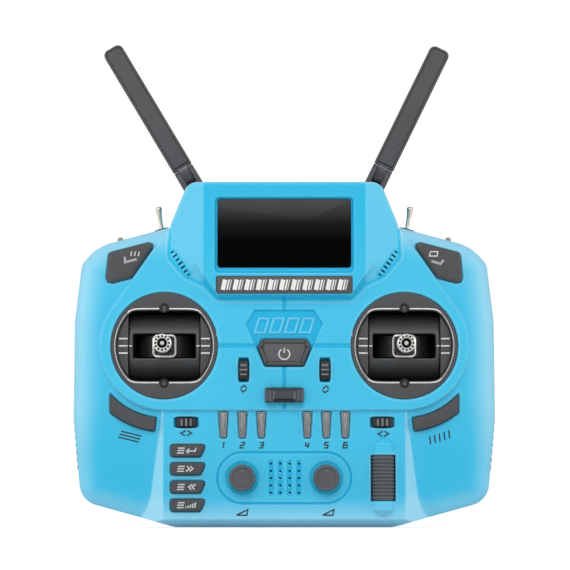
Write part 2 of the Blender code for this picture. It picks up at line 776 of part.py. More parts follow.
def display_recesses():
    recess = box_corners((LENS_CENTRE[0], RECESS_CENTRE_Y), RECESS_SIZE, 2.0)
    window = [size - 2 * LENS_BORDER for size in LENS_SIZE]
    lens_floor = LENS_TOP - LENS_THICKNESS - GAP
    plate_floor = NAME_PLATE_TOP - NAME_PLATE_THICKNESS - GAP
    return [
        prism("recess", rounded(recess), LENS_TOP - RECESS_DEPTH, THROUGH),
        hole_round("lens_seat", box_corners(LENS_CENTRE, LENS_SIZE, 1.5), lens_floor),
        prism("lens_window", rounded(box_corners(LENS_CENTRE, window, 1.0)), HUMP_HOLLOW_TOP - 1, THROUGH),
        hole_round("name_seat", box_corners(NAME_PLATE_CENTRE, NAME_PLATE_SIZE, 0.8), plate_floor),
    ]


def vent_slots():
    """Two rows of short slots across the hump's lower facets, each square to its row."""
    slots = []
    width, height = VENT_SIZE
    slot = ((-width / 2, -height / 2), (width / 2, height / 2))
    for _, sign in SIDES:
        first = Vector((sign * VENT_FIRST[0], VENT_FIRST[1], 0))
        last = Vector((sign * VENT_LAST[0], VENT_LAST[1], 0))
        row = last - first
        turn = (0, 0, math.atan2(row.y, row.x) + math.pi / 2)
        for i in range(VENT_COUNT):
            spot = first + row * i / (VENT_COUNT - 1)
            slots.append(span_box("vent", slot, 0, THROUGH, at=spot, turn=turn))
    return slots


def gimbal_spots():
    """Side and centre of each gimbal."""
    return [(side, (sign * GIMBAL_CENTRE[0], GIMBAL_CENTRE[1], 0)) for side, sign in SIDES]


def front_shell():
    levels = [(SEAM_FRONT, 0)]
    for step in range(WING_ROUND_STEPS + 1):
        angle = math.pi / 2 * step / WING_ROUND_STEPS
        height = WING_TOP - WING_ROUND * (1 - math.sin(angle))
        levels.append((height, WING_ROUND * (1 - math.cos(angle))))
    shell = loft("front_shell", mirrored(CASE_OUTLINE_LEFT), levels)
    combine(shell, "DIFFERENCE", [palm_cutter()])
    combine(shell, "UNION", front_blocks())
    bores = [
        cylinder("gimbal_bore", BEZEL_RADIUS + GAP, -1, THROUGH, steps=40, at=spot)
        for _, spot in gimbal_spots()
    ]
    openings = button_holes() + trim_slots() + dial_and_speaker_holes() + roller_slot()
    combine(shell, "DIFFERENCE", front_hollows() + bores)
    combine(shell, "DIFFERENCE", openings + display_recesses() + vent_slots())
    return finish(shell, "case_blue")


def cover_box(name, cover, low, high, growth=0.0):
    """A box over a cover's area, grown or shrunk all round."""
    half, bottom, top = cover
    span = ((-half - growth, bottom - growth), (half + growth, top + growth))
    return span_box(name, span, low, high)


def pad_prism(name, sign, growth=0.0):
    """A grip pad, or with growth the seat it sits in."""
    corners = [(x, y, 0.1) for x, y in PAD_OUTLINE_LEFT]
    corners = grown(corners, growth) if growth else corners
    low, high = PAD_DEPTHS
    points = flipped([c[:2] for c in corners], sign)
    return prism(name, points, low - growth, high + growth)


def rear_blocks():
    """Everything that stands out behind the rear shell."""
    half, bottom, top = BATTERY_BOX
    corners = box_corners((0, (bottom + top) / 2), (2 * half, top - bottom), BATTERY_BOX_ROUND)
    back = -BATTERY_BOX_DEPTH
    blocks = [prism("battery_box", rounded(corners), back, BULGE_FRONT, edge=2.0, edge_at="low")]
    for _, sign in SIDES:
        grip = prism("grip", rounded(flipped(GRIP_OUTLINE_LEFT, sign)), -THROUGH, BULGE_FRONT)
        profile = prism("grip_profile", GRIP_PROFILE, -THROUGH * 2, THROUGH * 2, along="X")
        blocks.append(combine(grip, "INTERSECT", [profile]))
        blocks.append(prism("lug", lug_outline(sign), *LUG_DEPTHS))
        spot = (sign * ANTENNA_PIVOT[0], ANTENNA_PIVOT[1], 0)
        pin_start = LUG_DEPTHS[1] - 1
        blocks.append(cylinder("pin", SWIVEL_PIN_RADIUS, pin_start, SWIVEL_PIN_END, steps=12, at=spot))
    return blocks


def rear_hollows():
    """The rooms inside the rear shell, and the openings and seats for its covers and pads."""
    back = -BATTERY_BOX_DEPTH
    room = [
        (BOX_WALL - REAR_DEPTH, REAR_EDGE + 1),
        (REAR_EDGE - REAR_DEPTH, CASE_WALL),
        (ROOM_TOP, CASE_WALL),
    ]
    hollows = [
        loft("hollow_rear", rear_corners(), room),
        cover_box("hollow_battery", BATTERY_BOX, back + BOX_WALL, ROOM_TOP, -BOX_WALL),
        cover_box("battery_opening", BATTERY_DOOR, back - 1, back + OPENING_DEPTH, GAP),
        cover_box("module_opening", MODULE_COVER, back - 1, back + OPENING_DEPTH, GAP),
    ]
    for _, sign in SIDES:
        near, far = sorted(sign * x for x in GRIP_HOLLOW_SIDES)
        hollows.append(prism("grip_hollow", GRIP_HOLLOW, near, far, along="X"))
        hollows.append(pad_prism("pad_seat", sign, GAP))
    return hollows


def toggle_places():
    """Name, side, foot, lean of the switch, and lean and length of the lever."""
    inner = (INNER_TOGGLE_X, shoulder_y(INNER_TOGGLE_X), INNER_TOGGLE_DEPTH)
    half_edge = REAR_EDGE / 2
    outer_y = shoulder_y(OUTER_TOGGLE_X) - half_edge / math.cos(SHOULDER_ANGLE)
    outer = (OUTER_TOGGLE_X, outer_y, half_edge - REAR_DEPTH)
    for side, sign in SIDES:
        for row, (x, y, z), lean, lever_lean, length in (
            ("inner", inner, 0.0, INNER_LEVER_LEAN, INNER_LEVER_LENGTH),
            ("outer", outer, OUTER_TOGGLE_LEAN, SHOULDER_ANGLE, OUTER_LEVER_LENGTH),
        ):
            turn = (-math.pi / 2 - lean, 0, -sign * SHOULDER_ANGLE)
            lever_turn = (-math.pi / 2 - lean, 0, -sign * lever_lean)
            yield f"{side}_{row}", (-sign * x, y, z), turn, lever_turn, length


def rear_shell():
    levels = [(-REAR_DEPTH, REAR_EDGE), (REAR_EDGE - REAR_DEPTH, 0), (SEAM_REAR, 0)]
    shell = loft("rear_shell", rear_corners(), levels)
    combine(shell, "UNION", rear_blocks())
    reach = TOGGLE_SHANK_HOLE
    switch_holes = [
        cylinder("toggle_hole", TOGGLE_SHANK_RADIUS + GAP, -reach, reach, steps=12, at=spot, turn=turn)
        for _, spot, turn, _, _ in toggle_places()
    ]
    combine(shell, "DIFFERENCE", rear_hollows() + switch_holes)
    return finish(shell, "case_blue")


def grip_pads():
    for side, sign in SIDES:
        finish(pad_prism(f"grip_pad_{side}", sign), "grip_rubber")


def finger_ribs(top):
    """Short raised bars under the upper edge of a cover."""
    back = -BATTERY_BOX_DEPTH
    ribs = []
    for i in range(RIB_COUNT):
        high = top - RIB_MARGIN - RIB_PITCH * i
        span = ((-RIB_HALF_LENGTH, high - RIB_WIDTH), (RIB_HALF_LENGTH, high))
        ribs.append(span_box("rib", span, back - RIB_RISE, back + COVER_THICKNESS / 2))
    return ribs


def rear_covers():
    """The battery door and the module bay cover, each a plate with finger ribs."""
    for name, cover in (("battery_door", BATTERY_DOOR), ("module_bay_cover", MODULE_COVER)):
        half, bottom, top = cover
        outline = rounded(box_corners((0, 0), (2 * half, top - bottom), 1.0))
        spot = (0, (bottom + top) / 2, -BATTERY_BOX_DEPTH)
        plate = prism(name, outline, 0, COVER_THICKNESS, edge=COVER_EDGE, edge_at="low", at=spot)
        finish(combine(plate, "UNION", finger_ribs(top)), "case_blue")


def inner_pieces():
    """The circuit board, the battery and the speaker."""
    board = prism("main_board", mirrored(BOARD_OUTLINE_LEFT), *BOARD_DEPTHS)
    finish(board, "circuit_board", smooth=False)
    half = CELL_LENGTH / 2
    low, high = CELL_ROWS
    pack, cell = [
        cylinder(name, CELL_RADIUS, -half, half, along="X", steps=20, at=(0, y, CELL_DEPTH))
        for name, y in (("battery_pack", low), ("cell", high))
    ]
    span = ((-WRAP_HALF_LENGTH, low), (WRAP_HALF_LENGTH, high))
    thick = WRAP_HALF_THICKNESS
    wrap = span_box("wrap", span, CELL_DEPTH - thick, CELL_DEPTH + thick)
    finish(combine(pack, "UNION", [cell, wrap]), "battery_wrap")
    speaker = cylinder("speaker", SPEAKER_RADIUS, *SPEAKER_DEPTHS, steps=24, at=(*SPEAKER_CENTRE, 0))
    finish(speaker, "black_plastic")


def display_pieces():
    """The window of the display, the blank name plate and the strap bar."""
    lens = rounded(box_corners((0, 0), LENS_SIZE, 1.5))
    spot = (*LENS_CENTRE, 0)
    finish(prism("screen_lens", lens, LENS_TOP - LENS_THICKNESS, LENS_TOP, at=spot), "screen_glass")
    plate = rounded(box_corners((0, 0), NAME_PLATE_SIZE, 0.8))
    low = NAME_PLATE_TOP - NAME_PLATE_THICKNESS
    finish(prism("name_plate", plate, low, NAME_PLATE_TOP, at=(*NAME_PLATE_CENTRE, 0)), "name_plate")
    low = STRAP_BAR_CENTRE_Y - STRAP_BAR_HEIGHT / 2
    bar = prism("strap_bar", STRAP_BAR_PROFILE, low, low + STRAP_BAR_HEIGHT, along="Y")
    finish(bar, "dark_plastic", smooth=False)


# ---------------------------------------------------------------- gimbals


def gimbal_frame(side, spot):
    """Bezel and housing in one, open behind, with a bore in each cheek for the drum's stubs."""
    x, y, _ = spot
    frame = cylinder(f"{side}_gimbal_frame", FRAME_RADIUS, FRAME_BACK, BEZEL_TOP - 1, steps=36, at=spot)
    bezel = cylinder("bezel", BEZEL_RADIUS, BEZEL_TOP - BEZEL_THICKNESS, BEZEL_TOP, steps=36, at=spot)
    combine(frame, "UNION", [bezel])
    wide, tall = FRAME_HALF_WIDTH, FRAME_HALF_HEIGHT
    room = ((-wide, -tall), (wide, tall))
    bore = DRUM_STUB_RADIUS + GAP
    reach = DRUM_STUB_END + STUB_CLEARANCE
    tools = [
        prism("window", window_outline(), CHEEK_TOP, THROUGH, at=spot),
        span_box("room", room, FRAME_BACK - 1, CHEEK_TOP + 0.1, at=spot),
        cylinder("bore", bore, -reach, reach, along="X", steps=12, at=(x, y, PIVOT_DEPTH)),
    ]
    seat = BEZEL_TOP - SCREW_HEAD_HEIGHT - GAP
    for _, screw_spot in screw_spots(spot):
        tools.append(cylinder("seat", SCREW_HEAD_RADIUS + GAP, seat, THROUGH, steps=12, at=screw_spot))
    return finish(combine(frame, "DIFFERENCE", tools), "dark_plastic")


def screw_spots(spot):
    """Name and place of the two bezel screws."""
    x, y, _ = spot
    return (("upper", (x, y + SCREW_OFFSET, 0)), ("lower", (x, y - SCREW_OFFSET, 0)))


def bezel_screws(side, spot):
    low = BEZEL_TOP - SCREW_HEAD_HEIGHT
    for row, screw_spot in screw_spots(spot):
        name = f"{side}_bezel_screw_{row}"
        head = cylinder(name, SCREW_HEAD_RADIUS, low, BEZEL_TOP, steps=12, at=screw_spot)
        socket_floor = BEZEL_TOP - SCREW_SOCKET_DEPTH
        socket = cylinder("socket", SCREW_SOCKET_RADIUS, socket_floor, THROUGH, steps=6, at=screw_spot)
        finish(combine(head, "DIFFERENCE", [socket]), "black_plastic")


def drum_outline():
    """A drum seen along its axis: a circle cut off flat behind."""
    cut = math.asin(DRUM_BACK / DRUM_RADIUS)
    return arc((0, 0), DRUM_RADIUS, cut, math.pi - cut, 22)


def gimbal_drum(side, pivot):
    """Tilts up and down in the frame, and carries the stick's yoke in its slot."""
    half = DRUM_HALF_LENGTH
    drum = prism(f"{side}_gimbal_drum", drum_outline(), -half, half, along="X", at=pivot)
    stubs = [
        cylinder("stub", DRUM_STUB_RADIUS, low, high, along="X", steps=12, at=pivot)
        for low, high in ((-DRUM_STUB_END, -DRUM_STUB_START), (DRUM_STUB_START, DRUM_STUB_END))
    ]
    combine(drum, "UNION", stubs)
    width, height = DRUM_SLOT
    span = ((-width / 2, -height / 2), (width / 2, height / 2))
    slot = span_box("drum_slot", span, -THROUGH, THROUGH, at=pivot)
    reach = YOKE_PIN_END + GAP
    bore = cylinder("yoke_bore", YOKE_PIN_RADIUS + GAP, -reach, reach, along="Y", steps=12, at=pivot)
    return finish(combine(drum, "DIFFERENCE", [slot, bore]), "black_plastic")


def stick_yoke(side, pivot):
    """Disc on two pins across the drum, with the collar and the stick's shaft on it."""
    half = YOKE_THICKNESS / 2
    yoke = cylinder(f"{side}_stick_yoke", YOKE_RADIUS, -half, half, along="Y", steps=28, at=pivot)
    reach = YOKE_PIN_END
    collar = rounded(box_corners((0, 0), COLLAR_SIZE, 2.0))
    parts = [
        cylinder("yoke_pin", YOKE_PIN_RADIUS, -reach, reach, along="Y", steps=12, at=pivot),
        prism("collar", collar, COLLAR_BOTTOM, COLLAR_TOP, at=pivot),
        cylinder("shaft", STICK_RADIUS, COLLAR_BOTTOM, STICK_END, steps=12, at=pivot),
    ]
    return finish(combine(yoke, "UNION", parts), "silver")


def stick_tip(side, pivot):
    """Grip with a dished top and a bore for the shaft."""
    bore = STICK_RADIUS + GAP
    dish = TIP_DISH_RADIUS
    profile = (
        (0, TIP_TOP - TIP_DISH_DEPTH),
        (dish, TIP_TOP - TIP_DISH_DEPTH),
        (dish + 0.6, TIP_TOP),
        (TIP_RADIUS - 0.6, TIP_TOP),
        (TIP_RADIUS, TIP_TOP - 0.8),
        (TIP_RADIUS, TIP_BOTTOM + 1.2),
        (TIP_RADIUS - 1.0, TIP_BOTTOM),
        (bore, TIP_BOTTOM),
        (bore, STICK_END + GAP),
        (0, STICK_END + GAP),
    )
    return finish(turned(f"{side}_stick_tip", profile, 16, at=pivot), "silver")


def gimbals():
    for side, spot in gimbal_spots():
        pivot = (*spot[:2], PIVOT_DEPTH)
        gimbal_frame(side, spot)
        bezel_screws(side, spot)
        gimbal_drum(side, pivot)
        stick_yoke(side, pivot)
        stick_tip(side, pivot)


# ---------------------------------------------------------------- controls


def key_corners(x):
    return [(x + dx, y, radius) for dx, y, radius in KEY_OUTLINE]


def nav_corners(y):
    return [(x, y + dy, radius) for x, dy, radius in NAV_OUTLINE]


def button(name, corners, top, inner_face, edge, material):
    """A cap on a plunger, held behind the shell by a flange."""
    cap = prism(name, rounded(corners), PLUNGER_END, top, edge=edge)
    high = inner_face - GAP
    flange = prism("flange", rounded(grown(corners, FLANGE_WIDTH), 1), high - FLANGE_THICKNESS, high)
    return finish(combine(cap, "UNION", [flange]), material)


def keys_and_buttons():
    inner_face = DECK_TOP - FACE_SKIN
    for number, x in enumerate(KEY_COLUMNS, 1):
        button(f"key_{number}", key_corners(x), KEY_TOP, inner_face, 0.2, "smoke_key")
    for number, y in enumerate(NAV_ROWS, 1):
        button(f"nav_button_{number}", nav_corners(y), NAV_TOP, inner_face, 0.4, "dark_plastic")
    for side, sign in SIDES:
        corner = rounded(flipped(CORNER_OUTLINE_LEFT, sign))
        finish(prism(f"corner_button_{side}", corner, PLUNGER_END, CORNER_TOP, edge=1.0), "dark_plastic")
        menu = menu_outline(sign)
        finish(prism(f"menu_button_{side}", menu, PLUNGER_END, MENU_TOP, edge=0.4), "dark_plastic")


def power_pieces():
    """The ring let into the plate and the button inside it."""
    ring = rounded(mirrored(POWER_BEZEL_LEFT))
    bezel = prism("power_bezel", ring, POWER_BEZEL_BACK, POWER_BEZEL_TOP, edge=0.4)
    opening = hole_round("power_opening", mirrored(POWER_BUTTON_LEFT))
    finish(combine(bezel, "DIFFERENCE", [opening]), "black_plastic")
    cap = rounded(mirrored(POWER_BUTTON_LEFT))
    finish(prism("power_button", cap, PLUNGER_END, POWER_TOP, edge=0.3), "dark_plastic")


def trims():
    """Four rockers, each on a short axle behind the shell."""
    half = TRIM_WIDTH / 2
    reach = TRIM_AXLE_LENGTH / 2
    for name, (x, y), surface, axle in trim_places():
        spot = (x, y, surface + TRIM_RISE - TRIM_RADIUS)
        rocker = prism(name, trim_outline(), -half, half, along=axle, at=spot)
        pin = cylinder("trim_axle", TRIM_AXLE_RADIUS, -reach, reach, along=axle, steps=10, at=spot)
        finish(combine(rocker, "UNION", [pin]), "black_plastic")


def knobs():
    """Two dials with a raised rim, each on a shaft through the face."""
    face = KNOB_TOP - KNOB_RIM_HEIGHT
    profile = (
        (0, face),
        (KNOB_RADIUS - KNOB_RIM_WIDTH, face),
        (KNOB_RADIUS - 1.0, KNOB_TOP),
        (KNOB_RADIUS - 0.6, KNOB_TOP),
        (KNOB_RADIUS, KNOB_TOP - 0.6),
        (KNOB_RADIUS, KNOB_BOTTOM),
        (KNOB_SHAFT_RADIUS, KNOB_BOTTOM),
        (KNOB_SHAFT_RADIUS, PLUNGER_END),
        (0, PLUNGER_END),
    )
    for side, sign in SIDES:
        spot = (sign * KNOB_CENTRE[0], KNOB_CENTRE[1], 0)
        finish(turned(f"knob_{side}", profile, 20, at=spot), "dark_plastic")


def roller_pieces():
    """The roller on its own pins, and the cradle that it is pressed in with."""
    spot = (*ROLLER_CENTRE, ROLLER_AXIS_DEPTH)
    half = ROLLER_LENGTH / 2
    roller = cylinder("scroll_roller", ROLLER_RADIUS, -half, half, along="Y", steps=24, at=spot)
    reach = ROLLER_PIN_END
    pin = cylinder("roller_pin", ROLLER_PIN_RADIUS, -reach, reach, along="Y", steps=10, at=spot)
    finish(combine(roller, "UNION", [pin]), "dark_plastic")

    foot = (*ROLLER_CENTRE, 0)
    near, far = CRADLE_ARM
    wide, back = CRADLE_HALF_WIDTH, CRADLE_BACK
    base = ((-wide, -far), (wide, far))
    cradle = span_box("roller_cradle", base, back, back + CRADLE_BASE_THICKNESS, at=foot)
    arms = [
        span_box("arm", ((-wide, low), (wide, high)), back, CRADLE_TOP, at=foot)
        for low, high in ((-far, -near), (near, far))
    ]
    combine(cradle, "UNION", arms)
    bore = cylinder("pin_bore", ROLLER_PIN_RADIUS + GAP, -far - 1, far + 1, along="Y", steps=10, at=spot)
    finish(combine(cradle, "DIFFERENCE", [bore]), "black_plastic")


def toggles():
    """Four switches on the shoulders: a threaded base with a flared mouth, and a lever."""
    base_profile = (
        (0, -TOGGLE_SOCKET_DEPTH),
        (TOGGLE_SOCKET_RADIUS, -TOGGLE_SOCKET_DEPTH),
        (TOGGLE_MOUTH_RADIUS, TOGGLE_FLANGE_TOP),
        (TOGGLE_FLANGE_RADIUS, TOGGLE_FLANGE_TOP),
        (TOGGLE_FLANGE_RADIUS, GAP),
        (TOGGLE_SHANK_RADIUS, GAP),
        (TOGGLE_SHANK_RADIUS, TOGGLE_SHANK_END),
        (0, TOGGLE_SHANK_END),
    )
    for name, spot, turn, lever_turn, length in toggle_places():
        lever_profile = (
            (0, length),
            (LEVER_RADIUS - 0.5, length),
            (LEVER_RADIUS, length - 0.6),
            (LEVER_RADIUS, length - 2.2),
            (LEVER_NECK_RADIUS, 1.2),
            (LEVER_NECK_RADIUS + 0.2, 0.3),
            (LEVER_NECK_RADIUS, -0.7),
            (0, -1.1),
        )
        finish(turned(f"{name}_toggle_base", base_profile, 12, at=spot, turn=turn), "black_plastic")
        finish(turned(f"{name}_toggle_lever", lever_profile, 10, at=spot, turn=lever_turn), "switch_nickel")


def fold_spot(side, sign):
    """Where the blade's fold pin crosses the axis of the antenna."""
    pivot = Vector((sign * ANTENNA_PIVOT[0], ANTENNA_PIVOT[1], ANTENNA_DEPTH))
    return pivot + Matrix.Rotation(ANTENNA_TILTS[side], 3, "Z") @ Vector((0, FOLD_DISTANCE, 0))


def antenna_swivel(side, sign):
    """Link on the case's pin, ending in a fork for the blade."""
    spot = (sign * ANTENNA_PIVOT[0], ANTENNA_PIVOT[1], ANTENNA_DEPTH)
    wide, thick = SWIVEL_HALF_WIDTH, SWIVEL_HALF_THICKNESS
    end = FOLD_DISTANCE + thick
    turn = (0, 0, ANTENNA_TILTS[side])
    where = {"at": spot, "turn": turn}
    outline = arc((0, 0), wide, math.pi, 2 * math.pi, 8) + [(wide, end), (-wide, end)]
    link = prism(f"{side}_antenna_swivel", outline, -thick, thick, **where)
    round_end = arc((FOLD_DISTANCE, 0), thick, -math.pi / 2, math.pi / 2, 8)
    rounding = [(-wide, -thick), *round_end, (-wide, thick)]
    combine(link, "INTERSECT", [prism("rounding", rounding, -wide - 1, wide + 1, along="X", **where)])
    gap = TONGUE_HALF_WIDTH + GAP
    fork = ((-gap, FOLD_DISTANCE - TONGUE_RADIUS - FORK_CLEARANCE), (gap, THROUGH))
    tools = [
        cylinder("pin_bore", SWIVEL_PIN_RADIUS + GAP, -thick - 1, thick + 1, steps=12, **where),
        span_box("fork_gap", fork, -thick - 1, thick + 1, **where),
    ]
    combine(link, "DIFFERENCE", tools)
    reach = FOLD_PIN_END
    spot = fold_spot(side, sign)
    pin = cylinder("fold_pin", FOLD_PIN_RADIUS, -reach, reach, along="X", steps=10, at=spot, turn=turn)
    return finish(combine(link, "UNION", [pin]), "dark_plastic")


def antenna_blade(side, sign):
    """Flat paddle on a tongue that turns on the fork's pin."""
    where = {"at": fold_spot(side, sign), "turn": (0, 0, ANTENNA_TILTS[side])}
    wide, thick, end = BLADE_HALF_WIDTH, BLADE_HALF_THICKNESS, BLADE_ENDS[side]
    corners = mirrored(((-wide, end, 2.5), (-wide, BLADE_START, 0.6)))
    blade = prism(f"{side}_antenna_blade", rounded(corners), -thick, thick, **where)
    foot, half = BLADE_START + TONGUE_OVERLAP, thick - TONGUE_INSET
    round_end = arc((0, 0), TONGUE_RADIUS, math.pi / 2, math.pi * 1.5, 8)
    outline = round_end + [(foot, -half), (foot, half)]
    tongue = prism("tongue", outline, -TONGUE_HALF_WIDTH, TONGUE_HALF_WIDTH, along="X", **where)
    combine(blade, "UNION", [tongue])
    bore = cylinder("bore", FOLD_PIN_RADIUS + GAP, -wide - 1, wide + 1, along="X", steps=10, **where)
    return finish(combine(blade, "DIFFERENCE", [bore]), "dark_plastic")


def antennas():
    for side, sign in SIDES:
        antenna_swivel(side, sign)
        antenna_blade(side, sign)


clear_scene()
PARTS = new_collection("radio_transmitter")
CUTTERS = new_collection("cutters")
FRAME = face_frame(PARTS)
MATERIALS = {name: make_material(name) for name in COLOURS}

front_shell()
rear_shell()
grip_pads()
rear_covers()
inner_pieces()
display_pieces()
gimbals()
keys_and_buttons()
power_pieces()
trims()
knobs()
roller_pieces()
toggles()
antennas()
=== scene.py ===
"""Looks of the radio transmitter: moulded shells, controls, gimbals, switches and antennas.

All shapes are worked out in the face frame, in millimetres: x across the face, y up it and z out
of it, so the row frame's point is (x, -z, y) / 1000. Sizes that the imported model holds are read
from it; the rest are named here.
"""

import math

import bmesh
import bpy
import numpy as np
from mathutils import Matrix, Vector


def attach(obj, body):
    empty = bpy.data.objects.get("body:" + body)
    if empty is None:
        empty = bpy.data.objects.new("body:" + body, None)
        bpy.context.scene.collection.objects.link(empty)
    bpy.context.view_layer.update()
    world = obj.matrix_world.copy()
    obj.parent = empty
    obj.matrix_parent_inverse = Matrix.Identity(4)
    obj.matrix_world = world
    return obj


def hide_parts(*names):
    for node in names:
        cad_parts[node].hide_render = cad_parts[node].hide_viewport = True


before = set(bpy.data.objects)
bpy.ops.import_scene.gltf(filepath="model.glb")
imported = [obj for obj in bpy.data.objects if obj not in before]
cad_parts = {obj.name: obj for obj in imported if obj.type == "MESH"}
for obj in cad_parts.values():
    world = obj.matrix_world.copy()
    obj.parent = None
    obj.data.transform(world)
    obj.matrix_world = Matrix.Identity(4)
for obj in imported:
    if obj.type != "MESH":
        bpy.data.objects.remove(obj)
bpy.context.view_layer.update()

MM = 1000.0
SIDES = (("left", -1), ("right", 1))
SQUARE = ((-1, -1), (1, -1), (1, 1), (-1, 1))
FAR = 1e9
TINY = 1e-6


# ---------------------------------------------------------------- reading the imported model


def node_points(name):
    """A CAD node's vertices in the face frame."""
    world = np.array([v.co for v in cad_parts[name].data.vertices]) * MM
    return np.stack([world[:, 0], world[:, 2], -world[:, 1]], axis=1)


class Spot:
    """Where a CAD node is: its corners, centre and size in the face frame."""

    def __init__(self, name):
        points = node_points(name)
        self.low, self.high = points.min(0), points.max(0)
        self.centre = (self.low + self.high) / 2
        self.size = self.high - self.low
        self.top = self.high[2]


def hull(points):
    """Convex outline of flat points, anticlockwise."""
    points = sorted(set(map(tuple, np.round(points, 3))))

    def chain(sequence):
        kept = []
        for p in sequence:
            while len(kept) > 1:
                (ax, ay), (bx, by) = kept[-2], kept[-1]
                if (bx - ax) * (p[1] - ay) - (by - ay) * (p[0] - ax) > TINY:
                    break
                kept.pop()
            kept.append(p)
        return kept[:-1]

    return np.array(chain(points) + chain(points[::-1]))


def top_points(name, depth):
    """Flat points of the upper part of a node."""
    points = node_points(name)
    return points[points[:, 2] > points[:, 2].max() - depth][:, :2]


def cap_outline(name, depth=1.5):
    """Outline of the part of a button that stands in its opening."""
    return hull(top_points(name, depth))


GIMBAL = {side: Spot(f"{side}_gimbal_frame") for side, _ in SIDES}
LENS = Spot("screen_lens")
NAME_PLATE = Spot("name_plate")
ROLLER = Spot("scroll_roller")
SPEAKER = Spot("speaker")
KNOBS = {side: Spot(f"knob_{side}") for side, _ in SIDES}
KEYS = [f"key_{i}" for i in range(1, 7)]
NAV_BUTTONS = [f"nav_button_{i}" for i in range(1, 5)]
TRIMS = [f"trim_{side}_{way}" for way in ("vertical", "horizontal") for side, _ in SIDES]


# ---------------------------------------------------------------- outlines and distances


def angles(steps):
    return [2 * math.pi * i / steps for i in range(steps)]


def arc(centre, radius, start, end, steps):
    """Points along an arc, both ends included."""
    turned = np.linspace(start, end, steps + 1)
    return np.stack([centre[0] + radius * np.cos(turned), centre[1] + radius * np.sin(turned)], axis=1)


def circle(centre, radius, steps):
    return arc(centre, radius, 0, 2 * math.pi, steps)[:-1]


def around(radius, steps):
    """A closed ring about the origin, its radius a function of the angle."""
    return np.array([(radius(a) * math.cos(a), radius(a) * math.sin(a)) for a in angles(steps)])


def rounded(corners, steps=6):
    """Corners given as (x, y, radius), each replaced by an arc that meets its two edges."""
    points = []
    for i, (x, y, radius) in enumerate(corners):
        corner = Vector((x, y))
        back = (Vector(corners[i - 1][:2]) - corner).normalized()
        ahead = (Vector(corners[(i + 1) % len(corners)][:2]) - corner).normalized()
        half = back.angle(ahead) / 2
        middle = corner + (back + ahead).normalized() * radius / math.sin(half)
        start = corner + back * radius / math.tan(half) - middle
        end = corner + ahead * radius / math.tan(half) - middle
        turn = start.angle_signed(end)
        for part in range(steps + 1):
            a = -turn * part / steps
            c, s = math.cos(a), math.sin(a)
            points.append((middle.x + c * start.x - s * start.y, middle.y + s * start.x + c * start.y))
    return np.array(points)


def mirrored(corners):
    """A left half followed by its mirror image, as one closed outline."""
    return tuple(corners) + tuple((-c[0], *c[1:]) for c in reversed(corners))


def box_outline(centre, size, radius, steps=6):
    """A rectangle with rounded corners."""
    corners = np.array(centre) + np.array(SQUARE) * size / 2
    return rounded([(x, y, radius) for x, y in np.roll(corners, 1, axis=0)], steps)


def distance(points, outline, reach=FAR):
    """Signed distance to a closed outline, negative inside; beyond the reach it is just the reach."""
    result = np.full(len(points), float(reach))
    low, high = outline.min(0) - reach, outline.max(0) + reach
    near = ((points > low) & (points < high)).all(1)
    x, y = points[near].T
    best = np.full(len(x), FAR * FAR)
    inside = np.zeros(len(x), bool)
    for (ax, ay), (bx, by) in zip(outline, np.roll(outline, -1, axis=0)):
        ex, ey = bx - ax, by - ay
        length = ex * ex + ey * ey
        if length < TINY * TINY:
            continue
        wx, wy = x - ax, y - ay
        t = np.clip((wx * ex + wy * ey) / length, 0, 1)
        best = np.minimum(best, (wx - ex * t) ** 2 + (wy - ey * t) ** 2)
        if ay != by:
            inside ^= ((ay > y) != (by > y)) & (x < ax + ex * (y - ay) / ey)
    signed = np.sqrt(best) * np.where(inside, -1.0, 1.0)
    result[near] = np.minimum(signed, reach)
    return result


def segment_distance(points, a, b):
    a, b = np.asarray(a, float), np.asarray(b, float)
    along = b - a
    t = np.clip(((points - a) @ along) / (along @ along), 0, 1)
    return np.linalg.norm(points - a - t[:, None] * along, axis=1)


def step(t):
    """Smooth rise from 0 to 1."""
    t = np.clip(t, 0, 1)
    return t * t * (3 - 2 * t)


def line(away, reach):
    """1 on a line, fading to 0 at a reach from it."""
    return 1 - step(np.abs(away) / reach)


def soft_min(a, b, width):
    """Lower of two heights with a fillet where they cross."""
    h = np.clip(0.5 + 0.5 * (b - a) / width, 0, 1)
    return b + (a - b) * h - width * h * (1 - h)


def soft_max(a, b, width):
    return -soft_min(-a, -b, width)


def mix(a, b, t):
    return a + (b - a) * t


def offset_outline(outline, amount):
    """An outline with every edge moved outwards by an amount, or inwards if it is negative."""
    before = outline - np.roll(outline, 1, axis=0)
    after = np.roll(outline, -1, axis=0) - outline
    before /= np.linalg.norm(before, axis=1)[:, None]
    after /= np.linalg.norm(after, axis=1)[:, None]
    x, y = outline.T
    area = (np.roll(x, 1) * y - x * np.roll(y, 1)).sum()
    turn = 1.0 if area > 0 else -1.0
    normal_before = np.stack([before[:, 1], -before[:, 0]], axis=1) * turn
    normal_after = np.stack([after[:, 1], -after[:, 0]], axis=1) * turn
    middle = normal_before + normal_after
    middle /= np.linalg.norm(middle, axis=1)[:, None]
    return outline + middle * (amount / np.maximum(0.4, (middle * normal_before).sum(1)))[:, None]


def fine_outline(outline, spacing=1.2):
    """The same outline with long edges split, so that domes and bevels stay even."""
    result = []
    for a, b in zip(outline, np.roll(outline, -1, axis=0)):
        count = max(1, int(np.linalg.norm(b - a) / spacing))
        result += [a + (b - a) * i / count for i in range(count)]
    return np.array(result)


# ---------------------------------------------------------------- meshes


def to_row(points):
    """Face frame in millimetres to the row frame in metres."""
    points = np.asarray(points, float).reshape(-1, 3)
    return np.stack([points[:, 0], -points[:, 2], points[:, 1]], axis=1) / MM


